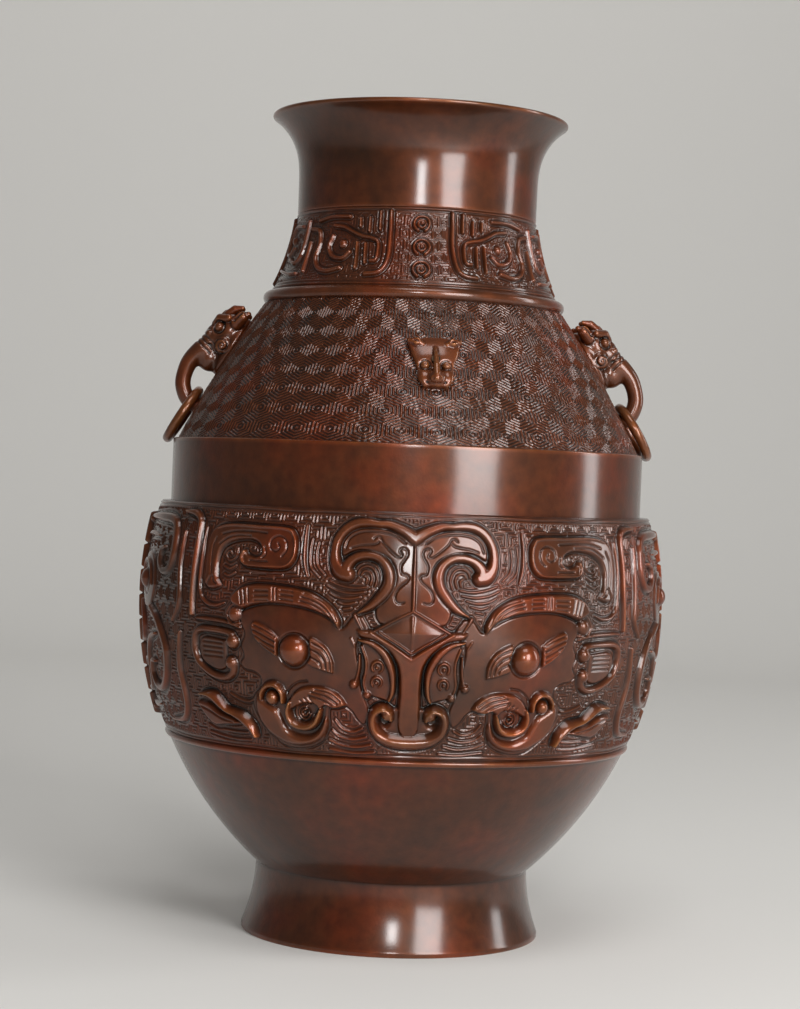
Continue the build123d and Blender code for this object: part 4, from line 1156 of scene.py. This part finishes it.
def sculpted(form, low, high, step):
    """Points, faces and standing-out shares of the surface of a form, by a net of surface cells."""
    axes = [np.arange(a, b + step, step) for a, b in zip(low, high)]
    grid = np.stack(np.meshgrid(*axes, indexing="ij"), axis=-1)
    values = form(grid)
    inside = values < 0
    shape = np.array(values.shape) - 1
    total = np.zeros(tuple(shape) + (3,))
    crossings = np.zeros(tuple(shape))
    for axis in range(3):
        lower = [slice(None)] * 3
        upper = [slice(None)] * 3
        lower[axis] = slice(None, -1)
        upper[axis] = slice(1, None)
        a, b = values[tuple(lower)], values[tuple(upper)]
        cross = (a < 0) != (b < 0)
        t = np.where(cross, a / np.where(cross, a - b, 1.0), 0.0)
        place = grid[tuple(lower)].copy()
        place[..., axis] += t * step
        place *= cross[..., None]
        others = [k for k in range(3) if k != axis]
        for i in (0, 1):
            for j in (0, 1):
                part = [slice(None)] * 3
                part[others[0]] = slice(i, i + shape[others[0]])
                part[others[1]] = slice(j, j + shape[others[1]])
                total += place[tuple(part)]
                crossings += cross[tuple(part)]
    active = crossings > 0
    number = np.full(tuple(shape), -1)
    number[active] = np.arange(active.sum())
    points = total[active] / crossings[active][:, None]
    faces = []
    for axis in range(3):
        lower = [slice(1, -1)] * 3
        upper = [slice(1, -1)] * 3
        lower[axis] = slice(None, -1)
        upper[axis] = slice(1, None)
        change = inside[tuple(lower)] != inside[tuple(upper)]
        starts_in = inside[tuple(lower)][change]
        at = np.argwhere(change) + 1
        at[:, axis] -= 1
        one, two = [(axis + 1) % 3, (axis + 2) % 3]
        corners = []
        for i, j in ((-1, -1), (0, -1), (0, 0), (-1, 0)):
            cell = at.copy()
            cell[:, one] += i
            cell[:, two] += j
            corners.append(number[cell[:, 0], cell[:, 1], cell[:, 2]])
        quad = np.stack(corners, axis=1)
        quad[~starts_in] = quad[~starts_in][:, ::-1]
        faces.append(quad)
    faces = np.vstack(faces)
    # Three steps down the slope bring the net onto the surface
    small = step * 0.25
    for _ in range(3):
        slope = np.stack([(form(points + small * e) - form(points - small * e)) / (2 * small)
                          for e in np.eye(3)], axis=1)
        points = points - slope * (form(points) / np.maximum((slope ** 2).sum(axis=1), 0.2))[:, None]
    # A place that stands out has more air than metal at this reach round it; where metal closes round a
    # place, its low share paints it dark as wax and painted shade
    reach, contrast = 0.7, 1.3
    around = sum(form(points + reach * e) + form(points - reach * e) for e in np.eye(3)) / 6
    stand = np.clip(0.5 + contrast * around / reach, 0.0, 1.0)
    return points, faces, stand


# Finishes

def put(tree, kind, inputs=None, stops=(), **settings):
    """Add a node with its settings, its colour stops, and its inputs set or linked."""
    node = tree.nodes.new(kind)
    for key, value in settings.items():
        setattr(node, key, value)
    for _ in stops[2:]:
        node.color_ramp.elements.new(0.5)
    for element, (place, shade) in zip(node.color_ramp.elements if stops else (), stops):
        element.position = place
        element.color = shade
    for key, value in (inputs or {}).items():
        if isinstance(value, bpy.types.NodeSocket):
            tree.links.new(value, node.inputs[key])
        else:
            node.inputs[key].default_value = value
    return node


def blank(name):
    """Empty node material and its tree."""
    material = bpy.data.materials.new(name)
    material.use_nodes = True
    material.node_tree.nodes.clear()
    return material, material.node_tree


def patinated_bronze(finish, name="Waxed patinated bronze", worn=0.0):
    """Cast bronze, chemically browned and waxed: dark in the hollows from wax and painted shade, redder on
    the forms, satin gloss.
    """
    material, tree = blank(name)
    place = put(tree, "ShaderNodeTexCoord").outputs["Object"]
    # Clouds of patina three centimetres across, mottling of some millimetres and casting grain under one
    clouds, mottle, grain = (
        put(tree, "ShaderNodeTexNoise", {"Vector": place, "Scale": 1 / size, "Detail": fine}).outputs["Fac"]
        for size, fine in ((0.030, 4.0), (0.0045, 3.0), (0.0009, 2.0))
    )
    relief = put(tree, "ShaderNodeAttribute", attribute_name="relief").outputs["Fac"]
    # The mottling shifts the patina's tone to both sides
    spread = 0.30
    jitter = put(tree, "ShaderNodeMath", {0: mottle, 1: spread, 2: worn - spread / 2},
                 operation="MULTIPLY_ADD")
    level = put(tree, "ShaderNodeMath", {0: jitter.outputs[0], 1: relief}, operation="ADD").outputs[0]
    # The standing-out share picks the tone: the darkest stop is wax and painted shade in the hollows, the
    # lightest rubbed metal on the forms
    stops = [(0.16, finish.recess), (0.42, finish.ground), (0.68, finish.raised), (1.0, finish.rubbed)]
    tone = put(tree, "ShaderNodeValToRGB", {"Fac": level}, stops).outputs[0]
    cool, warm = (
        put(tree, "ShaderNodeMapRange",
            {"Value": clouds, "From Min": low, "From Max": high, "To Min": 0.0, "To Max": most}).outputs[0]
        for low, high, most in ((0.52, 0.75, 0.6), (0.50, 0.30, 0.75))
    )
    skin = put(tree, "ShaderNodeMix", {0: cool, 6: tone, 7: finish.cloud}, data_type="RGBA").outputs[2]
    skin = put(tree, "ShaderNodeMix", {0: warm, 6: skin, 7: finish.warmth},
               data_type="RGBA", blend_type="OVERLAY").outputs[2]
    # Handled places are smoother than the hollows, and the mottling makes the gloss uneven
    gloss = put(tree, "ShaderNodeMapRange", {
        "Value": level, "From Min": 0.2, "From Max": 0.8, "To Min": 0.52, "To Max": 0.32
    }).outputs[0]
    rough = put(tree, "ShaderNodeMath", {0: mottle, 1: 0.16, 2: gloss}, operation="MULTIPLY_ADD").outputs[0]
    rough = put(tree, "ShaderNodeMath", {0: rough, 1: 0.06}, operation="SUBTRACT").outputs[0]
    height = put(tree, "ShaderNodeMath", {0: mottle, 1: 1.6, 2: grain}, operation="MULTIPLY_ADD").outputs[0]
    bump = put(tree, "ShaderNodeBump", {"Strength": 0.22, "Distance": 0.00022, "Height": height}).outputs[0]
    shader = put(tree, "ShaderNodeBsdfPrincipled", {
        "Base Color": skin, "Metallic": 0.55, "Roughness": rough, "Normal": bump,
        "Specular IOR Level": 0.15, "Coat Weight": 0.8, "Coat Roughness": 0.16,
    })
    put(tree, "ShaderNodeOutputMaterial", {"Surface": shader.outputs[0]})
    return material


def hammered_plate(finish):
    """Bronze sheet beaten flat: dull brown, with shallow overlapping hammer marks and scale."""
    material, tree = blank("Hammered bronze plate")
    place = put(tree, "ShaderNodeTexCoord").outputs["Object"]
    # Hammer marks seven millimetres across, stains of about twelve
    marks = put(tree, "ShaderNodeTexVoronoi", {"Vector": place, "Scale": 1 / 0.007}, feature="SMOOTH_F1")
    stain = put(tree, "ShaderNodeTexNoise",
                {"Vector": place, "Scale": 1 / 0.012, "Detail": 5.0}).outputs["Fac"]
    stops = [(0.3, finish.recess), (0.5, finish.plate), (0.72, finish.raised)]
    tone = put(tree, "ShaderNodeValToRGB", {"Fac": stain}, stops).outputs[0]
    bump = put(tree, "ShaderNodeBump",
               {"Strength": 0.35, "Distance": 0.0005, "Height": marks.outputs["Distance"]}).outputs[0]
    rough = put(tree, "ShaderNodeMapRange", {"Value": stain, "To Min": 0.42, "To Max": 0.68}).outputs[0]
    shader = put(tree, "ShaderNodeBsdfPrincipled",
                 {"Base Color": tone, "Metallic": 0.75, "Roughness": rough, "Normal": bump})
    put(tree, "ShaderNodeOutputMaterial", {"Surface": shader.outputs[0]})
    return material


def soft_solder(finish):
    """Soft solder run along a joint: dull grey, wrinkled where it froze."""
    material, tree = blank("Soft solder")
    place = put(tree, "ShaderNodeTexCoord").outputs["Object"]
    # Wrinkles two and a half millimetres apart
    wrinkle = put(tree, "ShaderNodeTexNoise",
                  {"Vector": place, "Scale": 1 / 0.0025, "Detail": 4.0}).outputs["Fac"]
    stops = [(0.25, finish.solder_dark), (0.7, finish.solder)]
    tone = put(tree, "ShaderNodeValToRGB", {"Fac": wrinkle}, stops).outputs[0]
    bump = put(tree, "ShaderNodeBump", {"Strength": 0.4, "Distance": 0.0004, "Height": wrinkle}).outputs[0]
    rough = put(tree, "ShaderNodeMapRange", {"Value": wrinkle, "To Min": 0.38, "To Max": 0.62}).outputs[0]
    shader = put(tree, "ShaderNodeBsdfPrincipled",
                 {"Base Color": tone, "Metallic": 0.85, "Roughness": rough, "Normal": bump})
    put(tree, "ShaderNodeOutputMaterial", {"Surface": shader.outputs[0]})
    return material


def finish_of(name, maker):
    """Material by name, made once."""
    return bpy.data.materials.get(name) or maker()


def bronze(context):
    """The vessel's own bronze."""
    return finish_of("Waxed patinated bronze", lambda: patinated_bronze(context.scene.hu_finish))


def cast_piece(piece, *nodes, body="vessel", slot="patinated_bronze"):
    """Put a piece on its body in place of its CAD nodes."""
    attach(piece, body)
    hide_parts(*nodes)


def detail(number):
    return number


# Sizes in millimetres of the foot ring's inside and of the ledge that the bottom plate lies against
FOOT_INSIDE = 50.6
LEDGE_RADIUS = 42.4
LEDGE_HEIGHT = 21.6
PLATE_RADIUS = 46.1
PLATE_UNDERSIDE = 15.0
# Depths of the wall under the decorated bands, which are shells of their own
MASK_DEPTH = 1.0
DIAPER_DEPTH = 1.1
NECK_DEPTH = 1.0
# Rounding of the wall's corners, and how rubbed its plain skin, its edges and the hidden backs of bands are
EDGE_ROUND = 0.45
PLAIN_TONE = 0.48
EDGE_TONE = 0.42
EDGE_REACH = 1.1
HIDDEN_TONE = 0.4
# Height of the lowest centres of hexagons over the collar, and the rise from row to row
FIRST_ROW = 4.2
ROW_RISE = 6.85


class HU_OT_wall(Operator):
    """Cast wall with foot, plain zones, beads, collar, lip and inside"""

    bl_idname = "hu.wall"
    bl_label = "Cast Wall"

    def execute(self, context):
        outline = Outline(context.scene.hu_outline)
        base = outline.base
        collar = outline.value("collar_radius")
        neck = outline.value("neck_radius")
        inside = outline.inside()
        # From the foot's inside over the outside, the lip and the inside, back down to the plate's ledge.
        # Under a band the wall keeps a little short of the band's edges, which lap over it.
        path = np.vstack((
            [(FOOT_INSIDE, 0.0), (outline.value("foot_radius"), 0.0)],
            outline.line("foot", 0, 1, 26),
            outline.line("lower_belly", 0, 1, 44)[1:],
            outline.line("lower_bead", 0, 1, 11)[1:],
            outline.line("mask_band", 0.012, 0.975, 24, MASK_DEPTH),
            [(collar, base["collar"] - 1.2)],
            [(collar, z) for z in np.linspace(base["collar"], base["shoulder"], 16)],
            outline.line("shoulder", 0.02, 0.98, 16, DIAPER_DEPTH),
            outline.line("neck_bead", 0, 1, 15),
            outline.line("neck_band", 0.03, 0.97, 14, NECK_DEPTH),
            [(neck, base["mouth"])],
            [(neck, z) for z in np.linspace(base["mouth"] + 1.5, base["mouth"] + 4.0, 3)],
            outline.mouth(),
            inside,
            [(LEDGE_RADIUS, inside[-1][1]), (LEDGE_RADIUS, LEDGE_HEIGHT), (PLATE_RADIUS, LEDGE_HEIGHT),
             (PLATE_RADIUS, PLATE_UNDERSIDE)],
        ))
        path = eased(np.vstack((path, path[:1])), EDGE_ROUND)[:-1]
        stand = np.clip(PLAIN_TONE + EDGE_TONE * convexity(path, EDGE_REACH), 0.0, 1.0)
        angle = np.linspace(0, 2 * math.pi, detail(512), endpoint=False)[None, :]
        radius, height = path[:, 0, None], path[:, 1, None]
        points = round_place(radius + 0.05 * wander(angle, height, size=18.0, seed=1), height, angle)
        faces, places = ring_lattice(points, 2)
        relief = np.repeat(stand[:, None], points.shape[1], axis=1)
        piece = mesh_piece("vessel_wall", points.reshape(-1, 3), faces, bronze(context), places, relief)
        cast_piece(piece, "vessel_body")
        return {"FINISHED"}


def band_piece(context, name, zone, divisions, heights, lap_top, lap_base):
    """Closed shell of a decorated band: relief outside, its back sunk in the wall, lapped at both edges."""
    outline = Outline(context.scene.hu_outline)
    columns, rows = (detail(number) for number in divisions)
    points, normals = bow(*outline.arcs[zone], np.linspace(0, 1, rows))
    angle = np.linspace(-math.pi, math.pi, columns, endpoint=False)[None, :]
    rise, stand = heights(angle, points[:, 1, None])
    # The relief runs out over three rows at both edges
    ends = np.clip(np.minimum(np.arange(rows), np.arange(rows)[::-1]) / 3, 0, 1)[:, None]
    rise = rise * ends
    radius, height = (points[:, k, None] + normals[:, k, None] * rise for k in (0, 1))
    front = round_place(radius, height, angle)
    back = np.vstack(([lap_top], outline.line(zone, 0.95, 0.05, 9, LET_IN), [lap_base]))
    behind = round_place(back[:, 0, None], back[:, 1, None], angle)
    shell = np.concatenate((front, behind))
    faces, places = ring_lattice(shell, 4)
    relief = np.concatenate((stand, np.full(behind.shape[:2], HIDDEN_TONE)))
    piece = mesh_piece(name, shell.reshape(-1, 3), faces, bronze(context), places, relief)
    cast_piece(piece, "vessel_body")


def folded(angle):
    """Angle from the nearer mask's centre line, mirrored into one quarter."""
    away = np.abs(angle)
    return np.where(away > math.pi / 2, math.pi - away, away)


class HU_OT_mask_band(Operator):
    """Belly band with two taotie masks, side dragons and a ground of squared spirals"""

    bl_idname = "hu.mask_band"
    bl_label = "Mask Band"

    def execute(self, context):
        board = mask_board(context.scene.hu_ornament)

        def heights(angle, z):
            s = folded(angle) * MASK_UNROLL + 0.35 * wander(angle, z, size=9.0, seed=3)
            z = z + 0.30 * wander(angle, z, size=11.0, seed=4)
            return board.read(board.height, s, z), board.read(board.stand, s, z)

        band_piece(context, "mask_band", "mask_band", (2560, 384), heights,
                   lap_top=(85.4, 156.2), lap_base=(83.2, 72.3))
        return {"FINISHED"}


class HU_OT_diaper_band(Operator):
    """Shoulder with a diaper of nested hexagons"""

    bl_idname = "hu.diaper_band"
    bl_label = "Diaper Band"

    def execute(self, context):
        ornament = context.scene.hu_ornament
        outline = Outline(context.scene.hu_outline)
        low, rise = outline.base["shoulder"] + FIRST_ROW, ROW_RISE * ornament.diaper_rows

        def heights(angle, z):
            # The lines waver as lines drawn by hand do
            bent = angle + 0.0012 * wander(angle, z, size=8.0, seed=6)
            level = z + 0.16 * wander(angle, z, size=7.0, seed=7)
            lines = hexagons(bent, level, low, rise, ornament.diaper_count, ornament.diaper_rows)
            # Unevenness of chasing by hand, so that the lines glint here and there and not in whole facets
            chased = ReliefBoard.softened(np.random.default_rng(SEED + 8).standard_normal(lines.shape), 6)
            chased = chased / chased.std()
            height = ornament.diaper_height / MM * lines + 0.04 * chased
            # The ground between the lines gets a low share and the crests a high one: the finish paints the
            # ground dark as wax and painted shade, and the crests as rubbed metal
            return height, 0.27 + 0.40 * lines + 0.02 * chased

        band_piece(context, "diaper_band", "shoulder", (2520, 296), heights,
                   lap_top=(52.9, 230.7), lap_base=(82.8, 178.0))
        return {"FINISHED"}


class HU_OT_dragon_band(Operator):
    """Neck band with coiled roundels and dragons"""

    bl_idname = "hu.dragon_band"
    bl_label = "Dragon Band"

    def execute(self, context):
        board = dragon_board()

        def heights(angle, z):
            s = folded(angle) * NECK_UNROLL + 0.2 * wander(angle, z, size=6.0, seed=9)
            return board.read(board.height, s, z), board.read(board.stand, s, z)

        band_piece(context, "dragon_band", "neck_band", (1536, 168), heights,
                   lap_top=(42.4, 263.6), lap_base=(50.8, 233.6))
        return {"FINISHED"}


def fitting(context, name, node, seat, form, low, high, step, rubbed):
    """Sculpted fitting on a seat of the shoulder, in a box from low to high, rubbed brighter by a share."""
    points, faces, stand = sculpted(form, low, high, step)
    turn = np.array(seat.to_3x3())
    points = points @ turn.T + np.array(seat.translation)
    piece = mesh_piece(name, points, faces, bronze(context), None, stand + rubbed)
    cast_piece(piece, node)


class HU_OT_handles(Operator):
    """Two beast handles whose trunks carry the rings"""

    bl_idname = "hu.handles"
    bl_label = "Beast Handles"

    def execute(self, context):
        outline = Outline(context.scene.hu_outline)
        height = context.scene.hu_ornament.handle_height / MM
        for side, angle in (("left", -90), ("right", 90)):
            seat = outline.seat(height, math.radians(angle))
            fitting(context, side + "_beast_handle", side + "_handle", seat, handle_form,
                    low=(-10.5, -20.5, -2.6), high=(10.5, 26.0, 14.5), step=0.3, rubbed=0.02)
        return {"FINISHED"}


class HU_OT_heads(Operator):
    """Small beast heads on the shoulder in front and behind"""

    bl_idname = "hu.heads"
    bl_label = "Small Beast Heads"

    def execute(self, context):
        outline = Outline(context.scene.hu_outline)
        ornament = context.scene.hu_ornament
        for side, turn in (("front", 0.0), ("back", math.pi)):
            seat = outline.seat(ornament.head_height / MM, ornament.head_offset + turn)
            fitting(context, side + "_small_head", side + "_beast_head", seat, head_form,
                    low=(-11.5, -11.5, -2.6), high=(11.5, 12.0, 9.6), step=0.26, rubbed=0.10)
        return {"FINISHED"}


class HU_OT_rings(Operator):
    """Loose rings that hang in the loops"""

    bl_idname = "hu.rings"
    bl_label = "Loose Rings"

    def execute(self, context):
        ornament = context.scene.hu_ornament
        radius, wire, lean = ornament.ring_radius / MM, ornament.ring_wire / MM / 2, ornament.ring_lean
        material = finish_of("Rubbed ring bronze", lambda: patinated_bronze(
            context.scene.hu_finish, "Rubbed ring bronze", 0.06))
        hinges = {joint["name"]: joint["pos_m"] for joint in frame["joints"]}
        around = np.linspace(0, 2 * math.pi, detail(256), endpoint=False)[None, :]
        section = np.linspace(0, 2 * math.pi, detail(64), endpoint=False)[:, None]
        for side, sign in (("left", -1.0), ("right", 1.0)):
            bar = np.array(hinges[side + "_ring_swing"], float) / MM
            down = np.array((sign * math.sin(lean), 0, -math.cos(lean)))
            across = np.array((0.0, 1.0, 0.0))
            flat = np.cross(down, across)
            # Worn thinner where the wire hangs in the loop, which is half way round
            dent = 0.04 * (1 + wander(around, section * 3, size=2.0, seed=12))
            dent = dent + 0.10 * np.exp(-((around - math.pi) / 0.45) ** 2)
            thick = wire - np.clip(dent, 0, 0.3)
            out = radius + thick * np.cos(section)
            spoke = np.cos(around)[..., None] * down + np.sin(around)[..., None] * across
            points = bar + radius * down + out[..., None] * spoke
            points = points + (thick * np.sin(section))[..., None] * flat
            faces, places = ring_lattice(points)
            # Rubbed brighter on its outside and in the loop
            worn = 0.62 + 0.10 * np.cos(section) + 0.12 * np.exp(-((around - math.pi) / 0.5) ** 2)
            relief = np.broadcast_to(worn, points.shape[:2])
            piece = mesh_piece(side + "_loose_ring", points.reshape(-1, 3), faces, material, places, relief)
            cast_piece(piece, side + "_ring", body=side + "_ring", slot="ring_bronze")
        return {"FINISHED"}


class HU_OT_bottom(Operator):
    """Bottom plate, its solder and the rivets of the fittings"""

    bl_idname = "hu.bottom"
    bl_label = "Bottom and Rivets"

    def execute(self, context):
        finish = context.scene.hu_finish
        plate = finish_of("Hammered bronze plate", lambda: hammered_plate(finish))
        solder = finish_of("Soft solder", lambda: soft_solder(finish))
        nodes = {"base_plate": plate, "base_solder": solder}
        for name in frame["nodes"]:
            if "rivet" in name:
                nodes[name] = plate
        for name, material in nodes.items():
            mesh = frame["nodes"][name].data
            mesh.materials.clear()
            mesh.materials.append(material)
        return {"FINISHED"}


class HU_OT_stage(Operator):
    """Pale paper sweep, soft lights and the camera"""

    bl_idname = "hu.stage"
    bl_label = "Studio Stage"

    def execute(self, context):
        stage = context.scene.hu_stage
        scene = context.scene
        material, tree = blank("Pale studio paper")
        grain = put(tree, "ShaderNodeTexNoise", {"Scale": 240.0}).outputs["Fac"]
        rough = put(tree, "ShaderNodeMapRange", {"Value": grain, "To Min": 0.75, "To Max": 0.9}).outputs[0]
        shader = put(tree, "ShaderNodeBsdfPrincipled", {
            "Base Color": scene.hu_finish.paper, "Roughness": rough, "Specular IOR Level": 0.2})
        put(tree, "ShaderNodeOutputMaterial", {"Surface": shader.outputs[0]})
        # The paper lies on the table, bends up behind the vessel and hangs from above, sizes in metres
        front, bend, round_up, top, half = -4.0, 1.2, 0.8, 3.6, 4.0
        rise = arc_points((bend, round_up), round_up, -90, 0, 17)[1:]
        sweep = np.vstack(([(front, 0.0), (bend, 0.0)], rise, [(bend + round_up, top)])) / MM
        points = np.stack([np.stack((np.full(len(sweep), x / MM), sweep[:, 0], sweep[:, 1]), axis=1)
                           for x in (-half, half)])
        count = len(sweep)
        faces = np.array([(i, i + 1, count + i + 1, count + i) for i in range(count - 1)])
        paper = mesh_piece("paper_sweep", points.reshape(-1, 3), faces[:, ::-1], material)

        world = bpy.data.worlds.new("Pale studio")
        world.use_nodes = True
        back = world.node_tree.nodes["Background"]
        back.inputs["Color"].default_value = scene.hu_finish.air
        back.inputs["Strength"].default_value = stage.world
        scene.world = world

        towards = Vector((math.sin(stage.azimuth), math.cos(stage.azimuth), 0))
        side = Vector((math.cos(stage.azimuth), -math.sin(stage.azimuth), 0))
        place = towards * -stage.distance + Vector((0, 0, stage.eye))
        aim = side * stage.aim_side + Vector((0, 0, stage.aim_height)) - place
        camera = bpy.data.objects.new("camera", bpy.data.cameras.new("camera"))
        # The field of view follows the picture's height
        camera.data.sensor_fit = "VERTICAL"
        camera.data.sensor_height = 36.0
        camera.data.lens = stage.lens
        turn = aim.to_track_quat("-Z", "Y").to_matrix() @ Matrix.Rotation(stage.roll, 3, "Z")
        camera.matrix_world = Matrix.Translation(place) @ turn.to_4x4()
        scene.collection.objects.link(camera)
        scene.camera = camera

        # One box, behind and over the vessel, lights the paper, and the others look at the vessel's middle
        middle = Vector((0, 0, 0.16))
        lamps = [("backdrop_box", stage.backdrop, towards * 0.75 + Vector((0, 0, 1.55)),
                  towards * 2.0 + Vector((0, 0, 0.55)), 2.4, 0.5)]
        # Bearing to the camera's right and rise in degrees, then distance, width and height in metres
        for name, power, bearing, rise, away, wide, high in (
            ("key_box", stage.key, 32, 13, 1.35, 0.48, 0.72),
            ("front_box", stage.front, 3, 13, 1.25, 0.16, 0.26),
            ("fill_box", stage.fill, -66, 26, 1.3, 1.0, 1.3),
            ("edge_strip", stage.edge, 96, 14, 1.2, 0.2, 0.8),
            ("top_box", stage.top, 12, 61, 1.4, 0.7, 0.55),
        ):
            bearing, rise = math.radians(bearing), math.radians(rise)
            level = side * math.sin(bearing) - towards * math.cos(bearing)
            reach = level * math.cos(rise) + Vector((0, 0, math.sin(rise)))
            lamps.append((name, power, middle + away * reach, middle, wide, high))
        for name, power, place, aim, wide, high in lamps:
            lamp = bpy.data.lights.new(name, "AREA")
            lamp.energy = power
            lamp.shape = "RECTANGLE"
            lamp.size = wide
            lamp.size_y = high
            holder = bpy.data.objects.new(name, lamp)
            # The fill only lifts the shade, so that its outline isn't mirrored in the neck
            holder.visible_glossy = name != "fill_box"
            holder.location = place
            holder.rotation_euler = (aim - place).to_track_quat("-Z", "Y").to_euler()
            scene.collection.objects.link(holder)
        scene.view_settings.view_transform = "Standard"
        return {"FINISHED"}


PIECES = (HU_OT_wall, HU_OT_mask_band, HU_OT_diaper_band, HU_OT_dragon_band, HU_OT_handles, HU_OT_heads,
          HU_OT_rings, HU_OT_bottom, HU_OT_stage)
GROUPS = {"hu_outline": HuOutline, "hu_ornament": HuOrnament, "hu_finish": HuFinish, "hu_stage": HuStage}


class HU_PT_vessel(Panel):
    """Sizes, colours and pieces of the vessel"""

    bl_label = "Bronze Hu Vessel"
    bl_idname = "HU_PT_vessel"
    bl_space_type = "VIEW_3D"
    bl_region_type = "UI"
    bl_category = "Hu Vessel"

    def draw(self, context):
        layout = self.layout
        for name, group in GROUPS.items():
            box = layout.box()
            for size in group.__annotations__:
                box.prop(getattr(context.scene, name), size)
        for piece in PIECES:
            layout.operator(piece.bl_idname)


CLASSES = tuple(GROUPS.values()) + PIECES + (HU_PT_vessel,)


def register():
    for cls in CLASSES:
        bpy.utils.register_class(cls)
    for name, group in GROUPS.items():
        setattr(bpy.types.Scene, name, PointerProperty(type=group))


def unregister():
    for name in GROUPS:
        delattr(bpy.types.Scene, name)
    for cls in reversed(CLASSES):
        bpy.utils.unregister_class(cls)


def main():
    register()
    bpy.ops.hu.wall()
    bpy.ops.hu.mask_band()
    bpy.ops.hu.diaper_band()
    bpy.ops.hu.dragon_band()
    bpy.ops.hu.handles()
    bpy.ops.hu.heads()
    bpy.ops.hu.rings()
    bpy.ops.hu.bottom()
    bpy.ops.hu.stage()


if __name__ == "__main__":
    main()
